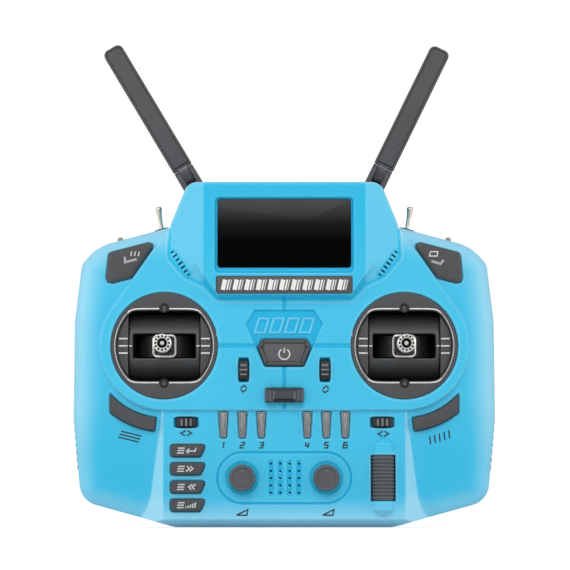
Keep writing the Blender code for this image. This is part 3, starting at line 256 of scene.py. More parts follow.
def place(points, centre, turn=None):
    """Turns points by a 3 x 3 matrix, then moves them."""
    points = np.asarray(points, float)
    if turn is not None:
        points = points @ np.asarray(turn).T
    return points + np.asarray(centre, float)


def show(name, mesh, look, body, node, slot, smooth):
    """Puts a mesh in the scene, smooth but for its sharp edges, riding on its body."""
    mesh.materials.append(LOOKS[look])
    mesh.shade_smooth()
    mesh.set_sharp_from_angle(angle=math.radians(smooth))
    piece = bpy.data.objects.new(name, mesh)
    bpy.context.scene.collection.objects.link(piece)
    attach(piece, body)
    if node:
        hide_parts(node)


class Shape:
    """A mesh being put together in the face frame."""

    def __init__(self, rings=(), close_start=True, close_end=True):
        self.points = []
        self.faces = []
        if len(rings):
            self.rings(rings, close_start, close_end)

    def rings(self, rings, close_start=True, close_end=True):
        """A skin over rings with equal numbers of points."""
        count = len(rings[0])
        faces = []
        for r in range(len(rings) - 1):
            for i in range(count):
                j = (i + 1) % count
                faces.append((r * count + i, r * count + j, (r + 1) * count + j, (r + 1) * count + i))
        if close_start:
            faces.append(tuple(reversed(range(count))))
        if close_end:
            faces.append(tuple((len(rings) - 1) * count + i for i in range(count)))
        start = len(self.points)
        self.points.extend(map(tuple, np.concatenate(rings)))
        self.faces.extend(tuple(start + i for i in face) for face in faces)
        return self

    def finish(self, name, look, body, node=None, slot=None, smooth=30):
        """Makes the mesh a visible piece in place of a CAD node."""
        mesh = bpy.data.meshes.new(name)
        mesh.from_pydata(to_row(self.points).tolist(), [], self.faces)
        work = bmesh.new()
        work.from_mesh(mesh)
        bmesh.ops.remove_doubles(work, verts=work.verts, dist=TINY)
        bmesh.ops.recalc_face_normals(work, faces=work.faces)
        work.to_mesh(mesh)
        work.free()
        show(name, mesh, look, body, node, slot, smooth)


def lathe(profile, steps, centre=(0, 0, 0), turn=None):
    """(radius, height) points turned round z, then turned and moved into place."""
    rings = []
    for radius, height in profile:
        ring = [(radius * math.cos(a), radius * math.sin(a), height) for a in angles(steps)]
        rings.append(place(np.array(ring), centre, turn))
    return Shape(rings, profile[0][0] > 0, profile[-1][0] > 0)


def ring_at(outline, height):
    return np.column_stack([outline, np.full(len(outline), float(height))])


def stack(outline, levels):
    """Rings of one outline at (outset, height) levels."""
    return [ring_at(offset_outline(outline, outset), height) for outset, height in levels]


def cap_rings(outline, low, top, edge, steps=3):
    """Rings of a cap with straight sides and a rounded upper edge."""
    levels = [(0, low)]
    for i in range(steps + 1):
        a = math.pi / 2 * i / steps
        levels.append((-edge * (1 - math.cos(a)), top - edge * (1 - math.sin(a)) * 0.8))
    return stack(outline, levels)


def fluted(centre, levels, flutes, steps):
    """Rings at (radius, height, depth) levels, with flutes of that depth down their sides."""
    return [
        ring_at(around(lambda a: radius - depth * (0.5 - 0.5 * math.cos(a * flutes)), steps) + centre, height)
        for radius, height, depth in levels
    ]


# ---------------------------------------------------------------- relief skins


class Relief:
    """A moulded skin: heights over a grid, cut to an outline and its openings."""

    OUTLINE_REACH = 5.0
    OPENING_REACH = 1.5
    NUDGE = 0.01
    SNAP_FROM = 0.75
    SNAP_LIMIT = 0.71
    SNAP_ERROR = 0.02
    SMOOTH = 50

    def __init__(self, pitch, outline, openings, height, wall_foot, facing=1, opening_depth=2.0):
        self.pitch = pitch
        self.outline = outline
        self.openings = openings
        self.height = height
        self.wall_foot = wall_foot
        self.facing = facing
        self.opening_depth = opening_depth

    def outside(self, points):
        """Distance outside the material: positive past the outline or in an opening."""
        result = distance(points, self.outline, self.OUTLINE_REACH)
        for opening in self.openings:
            result = np.maximum(result, -distance(points, opening, self.OPENING_REACH))
        return result

    def snapped(self, points, result):
        """Grid points near an edge moved on to it."""
        near = np.abs(result) < self.pitch * self.SNAP_FROM
        moved = points[near]
        nudge = self.NUDGE
        for _ in range(3):
            here = self.outside(moved)
            slope_x = (self.outside(moved + (nudge, 0)) - here) / nudge
            slope_y = (self.outside(moved + (0, nudge)) - here) / nudge
            length = np.maximum(0.5, slope_x**2 + slope_y**2)
            moved = moved - np.stack([here * slope_x / length, here * slope_y / length], axis=1)
        close = np.linalg.norm(moved - points[near], axis=1) < self.pitch * self.SNAP_LIMIT
        kept = np.abs(self.outside(moved)) < self.SNAP_ERROR
        index = np.nonzero(near)[0][close & kept]
        points[index] = moved[close & kept]
        result[index] = 0.0
        return points, result

    def grid(self):
        """Flat points on the material, and the squares and corner triangles between them."""
        low, high = self.outline.min(0) - self.pitch, self.outline.max(0) + self.pitch
        counts = np.ceil((high - low) / self.pitch).astype(int) + 1
        xs, ys = (low[axis] + self.pitch * np.arange(counts[axis]) for axis in (0, 1))
        flat = np.stack(np.meshgrid(xs, ys, indexing="ij"), axis=-1).reshape(-1, 2)
        flat, result = self.snapped(flat, self.outside(flat))

        index = np.arange(len(flat)).reshape(counts)
        corners = (index[:-1, :-1], index[1:, :-1], index[1:, 1:], index[:-1, 1:])
        quads = np.stack(corners, axis=-1).reshape(-1, 4)
        good = (result <= 0.0)[quads]
        whole = quads[good.all(1)]
        three = good.sum(1) == 3
        part = quads[three][good[three]].reshape(-1, 3)
        used = np.unique(np.concatenate([whole.ravel(), part.ravel()]))
        number = np.full(len(flat), -1)
        number[used] = np.arange(len(used))
        faces = [tuple(f) for corners in (whole, part) for f in number[corners].tolist()]
        return flat[used], faces

    def walls(self, points, faces):
        """The skin's edges carried down: to the seam along the outline, by a depth in an opening."""
        ends = {}
        for face in faces:
            for a, b in zip(face, face[1:] + face[:1]):
                if (b, a) in ends:
                    del ends[(b, a)]
                else:
                    ends[(a, b)] = True
        rim = sorted({i for pair in ends for i in pair})
        at_outline = np.abs(distance(points[rim][:, :2], self.outline, self.OUTLINE_REACH)) < 0.05
        foot = points[rim].copy()
        foot[:, 2] = np.where(at_outline, self.wall_foot, foot[:, 2] - self.facing * self.opening_depth)
        lower = {i: len(points) + n for n, i in enumerate(rim)}
        walls = [(b, a, lower[a], lower[b]) for a, b in ends]
        return walls, np.concatenate([points, foot])

    def build(self, name, look, body, node, slot, painted_light=None):
        """Makes the skin a visible piece; a value of painted light and shade is kept at each point."""
        flat, faces = self.grid()
        walls, points = self.walls(np.column_stack([flat, self.height(flat)]), faces)
        faces += walls
        if self.facing < 0:
            faces = [f[::-1] for f in faces]
        mesh = bpy.data.meshes.new(name)
        mesh.from_pydata(to_row(points).tolist(), [], faces)
        # The kept value is painted light: below 0 painted shade, above 0 painted highlight.
        if painted_light is not None:
            values = painted_light(points).astype(np.float32)
            mesh.attributes.new("painted_light", "FLOAT", "POINT").data.foreach_set("value", values)
        show(name, mesh, look, body, node, slot, self.SMOOTH)


# ---------------------------------------------------------------- front shell

CASE_LEFT = (
    (-46.8, 0.0, 12.0),
    (-87.1, 11.2, 9.5),
    (-90.5, 46.0, 60.0),
    (-90.3, 88.0, 60.0),
    (-87.4, 113.0, 6.0),
    (-80.5, 120.7, 20.0),
    (-48.8, 129.2, 0.5),
)
HUMP_LEFT = (
    (-28.6, 97.1, 0.5),
    (-34.3, 103.1, 4.0),
    (-42.5, 106.9, 4.0),
    (-49.5, 115.1, 3.0),
    (-48.8, 129.2, 0.5),
    (-41.3, 147.2, 5.5),
)
SEAM_FRONT = 2.15
SEAM_REAR = 1.85
WING_EDGE = 3.4
WING_TOP = 11.0
WING_ROUND = 11.0
WING_FULLNESS = 0.62
PALM_START = 52.0
PALM_SLOPE = 0.1
PLATE_TOP = 13.0
PLATE_FOOT = 49.5
DECK_TOP = 11.5
DECK_HALF_WIDTH = 51.4
DECK_FACET_SLOPE = 0.75
BOTTOM_EDGE = 4.6
BOTTOM_SLOPE = 2.05
HUMP_TOP = 17.5
HUMP_FLAT_HALF_WIDTH = 34.5
HUMP_FACET_SLOPE = 4.0 / 15.0
HUMP_STEEP_SLOPE = 2.6
HUMP_FOOT_SLOPE = 0.55
HUMP_FOOT_TURN = 29.0
HUMP_FREE_FROM = 127.5
HUMP_EDGE = 1.4
CREASE = 0.5

HEX_RECESS = rounded(mirrored(((-12.9, 92.8, 0.6), (-16.9, 86.4, 0.6), (-8.6, 67.9, 0.6))))
HEX_FLOOR = 12.0
SCREEN_RECESS = box_outline((0, 124.3), (60.0, 33.0), 2.2)
LENS_LIP = 3.0
OPENING_GAP = 0.25
CORNER_GAP = 0.14
TRIM_GAP = (0.5, 0.4)
TRIM_RAMP = 1.3
ROLLER_SLOT_LENGTH = 19.6
FAIRING_ENDS = (5.0, 37.9)
FAIRING_CONE = 2.4
FAIRING_RADII = (4.7, 2.1)
SPEAKER_COLUMNS = (-1.5, -0.5, 0.5, 1.5)
SPEAKER_PITCH = (4.0, 3.07)
SPEAKER_HOLE = 0.56
SPEAKER_GROOVE = 6.5
STADIUM_HALF_LENGTH = 17.6
STADIUM_RADIUS = 10.8
DISH_RADIUS = 6.3
DISH_REACH = 8.2
PLATE_GROOVE = (1.0, 0.45)
VENT_FIRST = (47.9, 117.3)
VENT_LAST = (41.0, 107.5)
VENT_REACHES = (0.8, *[1.12] * 5, 0.8)
VENT_HALF_WIDTH = 0.37
SMALL_OPENING = 2.5
SMALL_FILLET = (0.25, 0.1)
FILLET = (0.55, 0.3)

CASE = rounded(mirrored(CASE_LEFT), 10)
HUMP = rounded(mirrored(HUMP_LEFT), 8)
SILHOUETTE = rounded(mirrored(CASE_LEFT + HUMP_LEFT[-1:]), 10)


def plate_outline():
    """The raised centre plate, round each gimbal and down to a straight lower edge."""
    centre = (-abs(GIMBAL["left"].centre[0]), GIMBAL["left"].centre[1])
    radius = centre[1] - PLATE_FOOT
    foot = np.array(CASE_LEFT[-1][:2])
    reach = foot - centre
    tangent = math.atan2(reach[1], reach[0]) + math.acos(radius / np.hypot(*reach))
    left = np.vstack([foot, arc(centre, radius, tangent, 1.5 * math.pi, 40)])
    return np.vstack([left, left[::-1] * (-1, 1)])


PLATE = plate_outline()


def menu_outline(side, growth=0.0):
    """The curved button under a gimbal, read from its node: two arcs and two ends."""
    centre = GIMBAL[side].centre[:2]
    sign = 1 if side == "left" else -1
    from_centre = (top_points(f"menu_button_{side}", 1.5) - centre) * (sign, 1)
    radii = np.hypot(*from_centre.T)
    near_angle = np.arctan2(from_centre[:, 1], from_centre[:, 0]).max()
    far_x = from_centre[:, 0].min() - growth
    stretches = []
    for radius, way in ((radii.max() + growth, 1), (radii.min() - growth, -1)):
        start = near_angle + growth / radius
        end = -math.pi + math.acos(-far_x / radius)
        stretches.append(arc((0, 0), radius, start, end, 14)[::way])
    return (np.vstack(stretches) * (sign, 1) + centre)[::sign]


def trim_box(name):
    """Centre, half length, half width and direction of a trim's slot."""
    rim = top_points(name, 2.2)
    low, high = rim.min(0), rim.max(0)
    upright = high[1] - low[1] > high[0] - low[0]
    size = (high - low) / 2
    return (low + high) / 2, size.max(), size.min(), upright


def trim_outline(name, wider, longer):
    """A trim's slot, made wider and longer by two amounts."""
    centre, half_length, half_width, upright = trim_box(name)
    size = (2 * half_width + wider, 2 * half_length + longer)
    return box_outline(centre, size if upright else size[::-1], 0.15, 2)


def speaker_holes():
    """Four columns of five small round holes."""
    centre = SPEAKER.centre
    for column in SPEAKER_COLUMNS:
        for row in range(-2, 3):
            middle = (centre[0] + SPEAKER_PITCH[0] * column, centre[1] + SPEAKER_PITCH[1] * row)
            yield circle(middle, SPEAKER_HOLE, 12)


def vent_outlines():
    """Two rows of short slots, each square to its row, the end ones shorter."""
    for _, sign in SIDES:
        first, last = np.array(VENT_FIRST) * (sign, 1), np.array(VENT_LAST) * (sign, 1)
        along = (last - first) / np.linalg.norm(last - first)
        across = np.array((-along[1], along[0]))
        for i, reach in enumerate(VENT_REACHES):
            middle = first + (last - first) * i / (len(VENT_REACHES) - 1)
            yield np.array([middle + along * a * VENT_HALF_WIDTH + across * b * reach for a, b in SQUARE])


def front_openings():
    """Every real hole in the front shell."""
    holes = []
    for side, _ in SIDES:
        spot = GIMBAL[side]
        holes.append(circle(spot.centre[:2], spot.size[0] / 2 + OPENING_GAP, 96))
        holes.append(offset_outline(cap_outline(f"corner_button_{side}"), CORNER_GAP))
        holes.append(menu_outline(side, OPENING_GAP))
    holes += [offset_outline(cap_outline(name), OPENING_GAP) for name in (*KEYS, *NAV_BUTTONS, "power_bezel")]
    holes += [trim_outline(name, *TRIM_GAP) for name in TRIMS]
    holes += [*speaker_holes(), *vent_outlines()]
    holes.append(box_outline(ROLLER.centre[:2], (ROLLER.size[0] + 0.7, ROLLER_SLOT_LENGTH), 0.3, 2))
    holes.append(box_outline(LENS.centre[:2], LENS.size[:2] - LENS_LIP, 0.5, 2))
    return holes


FRONT_OPENINGS = front_openings()
LARGE_OPENINGS = [hole for hole in FRONT_OPENINGS if np.ptp(hole, axis=0).min() >= SMALL_OPENING]


def wing_height(points):
    """The wings: level, sloping down to the palms, and rounded over to the case's edge."""
    y = points[:, 1]
    top = WING_TOP - PALM_SLOPE * soft_max(PALM_START - y, 0 * y, 6.0)
    inside = np.clip(-distance(points, CASE) / WING_ROUND, 0, 1)
    return WING_EDGE + (top - WING_EDGE) * (1 - (1 - inside) ** 2) ** WING_FULLNESS


def deck_height(points):
    """The lower deck, with facets down its sides and a slope along the bottom."""
    x, y = np.abs(points[:, 0]), points[:, 1]
    deck = DECK_TOP - DECK_FACET_SLOPE * np.maximum(0, x - DECK_HALF_WIDTH)
    return np.where(y < PLATE_FOOT + 1.0, soft_min(deck, np.full(len(x), DECK_TOP), CREASE), 0.0)


def hump_height(points):
    """The display housing: a flat front, a facet each side and a foot that slopes to the plate."""
    x, y = np.abs(points[:, 0]), points[:, 1]
    inside = -distance(points, HUMP, 20.0)
    facet = HUMP_TOP - HUMP_FACET_SLOPE * (x - HUMP_FLAT_HALF_WIDTH)
    body = soft_min(np.full(len(x), HUMP_TOP), facet, CREASE)
    slope = mix(HUMP_STEEP_SLOPE, HUMP_FOOT_SLOPE, step((x - HUMP_FOOT_TURN) / 9.0))
    foot = PLATE_TOP - 0.1 + slope * inside
    off_edge = 1 - np.clip(inside / HUMP_EDGE, 0, 1)
    edge = body - HUMP_EDGE * (1 - np.sqrt(np.clip(1 - off_edge**2, 0, 1)))
    upper = step((y - HUMP_FREE_FROM) / 3.0)
    return np.where(inside > -0.1, mix(soft_min(body, foot, 0.6), edge, upper), -50.0)


def body_height(points):
    """The front shell's main masses, before its pockets, grooves and openings."""
    height = soft_max(wing_height(points), deck_height(points), CREASE)
    height = soft_min(height, BOTTOM_EDGE + BOTTOM_SLOPE * points[:, 1], CREASE)
    plate = -distance(points, PLATE, 4.0)
    height = mix(height, PLATE_TOP, step((plate + 0.35) / 0.9))
    return np.maximum(height, hump_height(points))


def sunk(height, points, outline, floor, wall):
    """Takes a pocket down to a floor inside an outline, with walls of one width."""
    inside = -distance(points, outline, 3.0)
    return mix(height, np.minimum(height, floor), step(inside / wall))


def groove(height, away, half_width, depth, soft=0.3):
    """A channel along a line, given the distance from it."""
    return height - depth * (1 - step((np.abs(away) - half_width + soft) / soft))


def panel_details(height, points):
    """Pockets, grooves and slots of the front panel."""
    gimbal = np.abs(GIMBAL["right"].centre)
    height = sunk(height, points, SCREEN_RECESS, LENS.top - 0.45, 1.1)
    seat = box_outline(NAME_PLATE.centre[:2], NAME_PLATE.size[:2] + 0.5, 1.0)
    height = sunk(height, points, seat, NAME_PLATE.low[2] - 0.05, 0.3)
    height = sunk(height, points, HEX_RECESS, HEX_FLOOR, 0.8)
    lines = [((0, 97.5), (0, 92.2)), ((0, 68.2), (0, PLATE_FOOT + 1.2))]
    lines += [((sign * (gimbal[0] - 23.2), 77.2), (sign * 13.4, 77.2)) for _, sign in SIDES]
    for a, b in lines:
        height = groove(height, segment_distance(points, a, b), *PLATE_GROOVE)
    knob = KNOBS["right"].centre
    ends = [(sign * STADIUM_HALF_LENGTH, knob[1]) for _, sign in SIDES]
    height = groove(height, segment_distance(points, *ends) - STADIUM_RADIUS, 0.55, 0.6)
    for _, sign in SIDES:
        away = np.hypot(points[:, 0] - sign * knob[0], points[:, 1] - knob[1])
        dish = DECK_TOP - 0.5 * (1 - step((away - DISH_RADIUS) / 1.5))
        height = np.where(away < DISH_REACH, np.minimum(height, dish), height)
    x, y, _ = SPEAKER.centre
    for across in (SPEAKER_PITCH[0] * column for column in SPEAKER_COLUMNS):
        slot = segment_distance(points, (x + across, y - SPEAKER_GROOVE), (x + across, y + SPEAKER_GROOVE))
        height = groove(height, slot, 1.3, 0.45, 0.35)
    for name in TRIMS:
        centre, half_length, _, upright = trim_box(name)
        inside = -distance(points, trim_outline(name, 0.7, 2 * TRIM_RAMP), 3.0)
        along = np.abs(points[:, 1] - centre[1] if upright else points[:, 0] - centre[0])
        ramp = 0.5 + 2.0 * np.clip((half_length + TRIM_RAMP - along) / TRIM_RAMP, 0, 1)
        height = height - ramp * step(inside / 0.25)
    return height


def fairing_height(points):
    """The half-buried spindle above and below the roller."""
    x, y = points[:, 0] - ROLLER.centre[0], points[:, 1]
    foot, top = FAIRING_ENDS
    wide, narrow = FAIRING_RADII
    radius = wide - (wide - narrow) * np.clip(1 - np.minimum(y - foot, top - y) / FAIRING_CONE, 0, 1)
    inside = (y > foot) & (y < top) & (np.abs(x) < radius)
    return np.where(inside, ROLLER.centre[2] + np.sqrt(np.clip(radius**2 - x**2, 0, None)), -50.0)


def front_height(points):
    """Height of the front shell's outer surface, softened at the rim of each opening."""
    height = np.maximum(panel_details(body_height(points), points), fairing_height(points))
    for opening in FRONT_OPENINGS:
        small = np.ptp(opening, axis=0).min() < SMALL_OPENING
        reach, depth = SMALL_FILLET if small else FILLET
        away = distance(points, opening, 1.2)
        height = height - depth * (1 - step(away / reach)) * (away > -1)
    return height


def opening_rims(points):
    """How near each point is to the painted shade line against an opening, and to the painted highlight
    beside it.
    """
    against, beside = np.zeros(len(points)), np.zeros(len(points))
    for opening in LARGE_OPENINGS:
        away = distance(points, opening, 1.5)
        against = np.maximum(against, line(away - 0.1, 0.45) * (away > -1))
        beside = np.maximum(beside, line(away - 0.85, 0.35))
    return against, beside * (1 - against)


def front_painted_light(points):
    """Painted light on the plastic, from painted shade deep in the hollows (-1) to painted highlight over the
    rounded sides (1).
    """
    height, points = points[:, 2], points[:, :2]
    x, y = np.abs(points[:, 0]), points[:, 1]
    inside = -distance(points, SILHOUETTE)
    hump = step(-distance(points, HUMP, 8.0) / 0.8)
    painted_side_highlight = 0.9 * (1 - step(inside / 14.0)) * (1 - hump)
    face = hump * step((HUMP_FLAT_HALF_WIDTH + 0.3 - x) / 0.6)
    painted_face_shade = face * mix(0.45, 0.85, step((y - 106) / 30.0))
    facet = 0.25 * hump * (1 - face)
    low_wing = 0.35 * step((x - 55) / 8.0) * step((55 - y) / 30.0)
    painted_recess_shade = np.clip((body_height(points) - height) / 0.45, 0, 1)
    away = distance(points, HUMP, 4.0)
    within = step((inside - 1.5) / 1.0)
    painted_valley_shade = 0.9 * line(away, 0.9) * within
    crest = 0.4 * line(away - 1.4, 0.5) * within
    painted_plate_edge_highlight = 0.5 * line(distance(points, PLATE, 2.0), 0.35) * step(away / 0.5)
    vents = segment_distance(np.column_stack((x, y)), VENT_FIRST, VENT_LAST)
    painted_vent_shade = 0.45 * (1 - step((vents - 1.3) / 0.5))
    painted_deck_side_highlight = 0.75 * step((deck_height(points) - wing_height(points)) / 0.3)
    painted_deck_side_highlight = painted_deck_side_highlight * step((x - DECK_HALF_WIDTH) / 0.5) * (y < PLATE_FOOT)
    against, beside = opening_rims(points)
    # Painted highlights: the rolled sides, the hump's facets, the crest beside its foot, the plate's edge,
    # the deck's side facets and a pale line beside each opening.
    light = painted_side_highlight + facet + crest + painted_plate_edge_highlight + painted_deck_side_highlight + 0.3 * beside
    # Painted shade: the housing's face, low on the outer wings, the hollows, the valley at the hump's foot,
    # round the vents and a deep line against each opening.
    dark = painted_face_shade + low_wing + painted_recess_shade + painted_valley_shade + painted_vent_shade + 0.8 * against
    return np.clip(light - dark, -1, 1)


def front_shell():
    """The skin of the whole front."""
    relief = Relief(0.3, SILHOUETTE, FRONT_OPENINGS, front_height, SEAM_FRONT)
    relief.build("front_shell_skin", "case_blue", "case", "front_shell", "case_blue", front_painted_light)


# ---------------------------------------------------------------- rear shell

REAR_DEPTH = 20.0
REAR_EDGE = 8.0
SHELF = (-45.4, 138.0, 2.0)
REAR = rounded(mirrored(CASE_LEFT + (SHELF,)), 10)
GRIP_LEFT = (
    (-60.0, 13.0, 6.0),
    (-84.0, 17.5, 6.0),
    (-87.0, 46.0, 20.0),
    (-86.5, 86.0, 10.0),
    (-80.0, 103.0, 8.0),
    (-58.0, 97.0, 8.0),
)
GRIP_DEPTH = 35.0
GRIP_CREST = 46.0
GRIP_SLOPE = 14.0 / 58.0
GRIP_ROUND = 11.0
BATTERY_BOX = box_outline((0, 67.0), (76.0, 90.0), 5.0)
BATTERY_DEPTH = 34.0


def rear_openings():
    """The places of the two lift-off covers."""
    for spot in (Spot("battery_door"), Spot("module_bay_cover")):
        yield box_outline(spot.centre[:2], spot.size[:2] + 0.6, 1.2, 4)


REAR_OPENINGS = list(rear_openings())


def grip_depth(points, sign):
    """A palm swell: deepest low down, fading towards the shoulder."""
    outline = rounded([(-sign * x, y, r) for x, y, r in GRIP_LEFT])
    crest = np.minimum(GRIP_DEPTH, GRIP_DEPTH - (points[:, 1] - GRIP_CREST) * GRIP_SLOPE)
    inside = np.clip(-distance(points, outline, 20.0) / GRIP_ROUND, 0, 1)
    swell = np.sqrt(np.clip(1 - (1 - inside) ** 2, 0, 1))
    rim = REAR_DEPTH - REAR_EDGE
    return rim + (crest - rim) * swell


def rear_height(points):
    """Height of the rear shell's outer surface, behind the seam and so negative."""
    inside = -distance(points, REAR)
    depth = soft_min(REAR_DEPTH - REAR_EDGE + inside, np.full(len(points), REAR_DEPTH), 2.0)
    box = -distance(points, BATTERY_BOX, 12.0)
    depth = mix(depth, BATTERY_DEPTH, step((box + 0.8) / 3.6))
    for _, sign in SIDES:
        depth = soft_max(depth, grip_depth(points, sign), 3.0)
    for opening in REAR_OPENINGS:
        depth = depth - 0.35 * (1 - step(distance(points, opening, 1.5) / 0.6))
    return -depth


def rear_painted_highlight(points):
    """Painted highlight, paler round the edge."""
    return 0.3 * (1 - step(-distance(points[:, :2], REAR) / 12.0))


def rear_shell():
    """The skin of the back, coarser because its forms are soft."""
    relief = Relief(0.6, REAR, REAR_OPENINGS, rear_height, SEAM_REAR, facing=-1)
    relief.build("rear_shell_skin", "case_blue", "case", "rear_shell", "case_blue", rear_painted_highlight)


# ---------------------------------------------------------------- finishes


class Finish:
    """A node material put together from layers of noise."""

    def __init__(self, name):
        self.material = bpy.data.materials.new(name)
        self.material.use_nodes = True
        self.tree = self.material.node_tree
        self.shader = self.tree.nodes["Principled BSDF"]
        self.place = self.node("ShaderNodeTexCoord").outputs["Object"]

    def node(self, kind, **settings):
        made = self.tree.nodes.new(kind)
        for key, value in settings.items():
            setattr(made, key, value)
        return made

    def fill(self, node, values):
        """Gives a node's sockets numbers, colours or links."""
        for key, value in values.items():
            target = node.inputs[key]
            if isinstance(value, tuple):
                target.default_value = (*value, 1.0) if target.type == "RGBA" else value
            elif isinstance(value, (int, float)):
                target.default_value = value
            else:
                self.tree.links.new(value, target)
        return node

    def noise(self, size, detail=2.0, stretch=(1, 1, 1)):
        """Noise whose blotches are about a size in millimetres across."""
        mapping = self.fill(self.node("ShaderNodeMapping"), {"Scale": stretch, "Vector": self.place})
        values = {"Scale": MM / size, "Detail": detail, "Vector": mapping.outputs["Vector"]}
        return self.fill(self.node("ShaderNodeTexNoise"), values).outputs["Fac"]

    def spread(self, value, low, high, start=0.0, end=1.0):
        """A value from start to end mapped to low to high."""
        values = {"From Min": start, "From Max": end, "To Min": low, "To Max": high, "Value": value}
        return self.fill(self.node("ShaderNodeMapRange"), values).outputs["Result"]

    def blend(self, factor, first, second, kind="MIX"):
        made = self.node("ShaderNodeMix", data_type="RGBA", blend_type=kind)
        return self.fill(made, {0: factor, 6: first, 7: second}).outputs[2]

    def mottle(self, value, colour, dark, pale, start=0.3, end=0.7):
        """A colour made darker and paler by a noise."""
        amount = self.spread(value, 0.0, 1.0, start, end)
        return self.blend(amount, shaded(colour, dark), shaded(colour, pale))

    def edges(self, strength):
        """How far the surface turns outwards, for a painted highlight along convex edges."""
        pointiness = self.node("ShaderNodeNewGeometry").outputs["Pointiness"]
        return self.spread(pointiness, 0.0, strength, 0.505, 0.56)

    def attribute(self, name):
        return self.node("ShaderNodeAttribute", attribute_name=name).outputs["Fac"]

    def finish(self, grain, depth, **values):
        """Fills the shader and adds surface relief of a depth in millimetres."""
        self.fill(self.shader, {key.replace("_", " "): value for key, value in values.items()})
        relief = {"Strength": 1.0, "Distance": depth / MM, "Height": grain}
        bump = self.fill(self.node("ShaderNodeBump"), relief)
        self.fill(self.shader, {"Normal": bump.outputs["Normal"]})
        return self.material


def shaded(colour, amount):
    return tuple(min(1.0, c * amount) for c in colour)


def moulded(name, colour, roughness, grain_size=0.3, grain_depth=0.02, edge=0.15, specular=0.5):
    """Moulded plastic or rubber: fine spark grain, soft blotches and a painted highlight along convex edges.
    """
    made = Finish(name)
    base = made.mottle(made.noise(14.0, 3.0), colour, 0.94, 1.06)
    # Painted highlight: convex edges made paler.
    base = made.blend(made.edges(edge), base, shaded(colour, 2.2))
    rough = made.spread(made.noise(3.0, 4.0), roughness - 0.06, roughness + 0.06)
    grain = made.noise(grain_size)
    return made.finish(grain, grain_depth, Base_Color=base, Roughness=rough, Specular_IOR_Level=specular)


BLUE_PAINTED_SHADE = (0.002, 0.43, 0.71)
BLUE = (0.046, 0.51, 0.765)
BLUE_PAINTED_HIGHLIGHT = (0.31, 0.66, 0.83)
BLUE_EDGE_HIGHLIGHT = (0.45, 0.8, 0.93)


def case_blue():
    """The shells' blue with painted light: painted shade deeper in the display housing and the hollows,
    painted highlights paler where the sides roll away and along convex edges.
    """
    made = Finish("case_blue")
    painted_light = made.attribute("painted_light")
    # Painted light: the kept value mixes painted shade and painted highlight into the blue.
    base = made.blend(made.spread(painted_light, 0.0, 1.0, -1.0, 0.0), BLUE_PAINTED_SHADE, BLUE)
    base = made.blend(made.spread(painted_light, 0.0, 1.0), base, BLUE_PAINTED_HIGHLIGHT)
    tint = made.spread(made.noise(22.0, 3.0), 0.0, 1.0, 0.3, 0.7)
    base = made.blend(0.5, base, made.blend(tint, (0.94, 0.95, 0.96), (1.0, 1.0, 1.0)), "MULTIPLY")
    # Painted highlight along convex edges.
    base = made.blend(made.edges(0.2), base, BLUE_EDGE_HIGHLIGHT)
    rough = made.spread(made.noise(4.0, 4.0), 0.4, 0.5)
    return made.finish(made.noise(0.35), 0.015, Base_Color=base, Roughness=rough, Specular_IOR_Level=0.35)


def metal(name, colour, roughness, stretch=(1, 1, 1)):
    """Turned or brushed metal with faint streaks."""
    made = Finish(name)
    streaks = made.noise(0.6, 5.0, stretch)
    base = made.blend(streaks, shaded(colour, 0.85), shaded(colour, 1.1))
    rough = made.spread(streaks, roughness - 0.08, roughness + 0.12)
    return made.finish(streaks, 0.008, Base_Color=base, Roughness=rough, Metallic=1.0)


def pitted_silver():
    """Polished metal with painted shade that turns its hollows black."""
    made = Finish("pitted_silver")
    streaks = made.noise(0.4, 4.0)
    base = made.blend(streaks, (0.75, 0.73, 0.7), (0.92, 0.9, 0.87))
    # Painted shade: the pits are made black.
    painted_hollow_shade = made.spread(made.attribute("painted_light"), 1.0, 0.0, -1.0, 0.0)
    base = made.blend(painted_hollow_shade, base, (0.01, 0.01, 0.011))
    rough = made.spread(streaks, 0.2, 0.36)
    return made.finish(streaks, 0.006, Base_Color=base, Roughness=rough, Metallic=0.85)


def screen_glass():
    """Dark glass over an unlit display, paler towards its top in a painted reflection, with a trace of dust.
    """
    made = Finish("screen_glass")
    split = made.fill(made.node("ShaderNodeSeparateXYZ"), {"Vector": made.place})
    height = made.spread(split.outputs["Z"], 0.0, 1.0, LENS.low[1] / MM, LENS.high[1] / MM)
    # Painted reflection: the glass grows paler towards its top.
    ramp = made.node("ShaderNodeValToRGB")
    stops = ramp.color_ramp.elements
    stops.new(0.4)
    stops.new(0.65)
    for stop, value in zip(stops, (0.0003, 0.0008, 0.009, 0.058)):
        stop.color = (value, value * 1.03, value * 1.02, 1.0)
    made.fill(ramp, {"Fac": height})
    dust = made.spread(made.noise(0.8, 4.0), 0.04, 0.16, 0.5, 0.8)
    colour = ramp.outputs["Color"]
    return made.finish(
        made.noise(9.0, 1.0), 0.004, Base_Color=colour, Roughness=dust, Specular_IOR_Level=0.04)


def smoke_key():
    """Tinted clear plastic: cloudy inside, smooth outside."""
    made = Finish("smoke_key")
    cloud = made.noise(1.2, 3.0, (2.0, 1.0, 0.4))
    dark, pale = (0.15, 0.155, 0.16), (0.25, 0.255, 0.265)
    base = made.blend(made.spread(cloud, 0.0, 1.0, 0.35, 0.65), dark, pale)
    rough = made.spread(cloud, 0.18, 0.32)
    return made.finish(made.noise(1.2), 0.02, Base_Color=base, Roughness=rough, Coat_Weight=0.4)


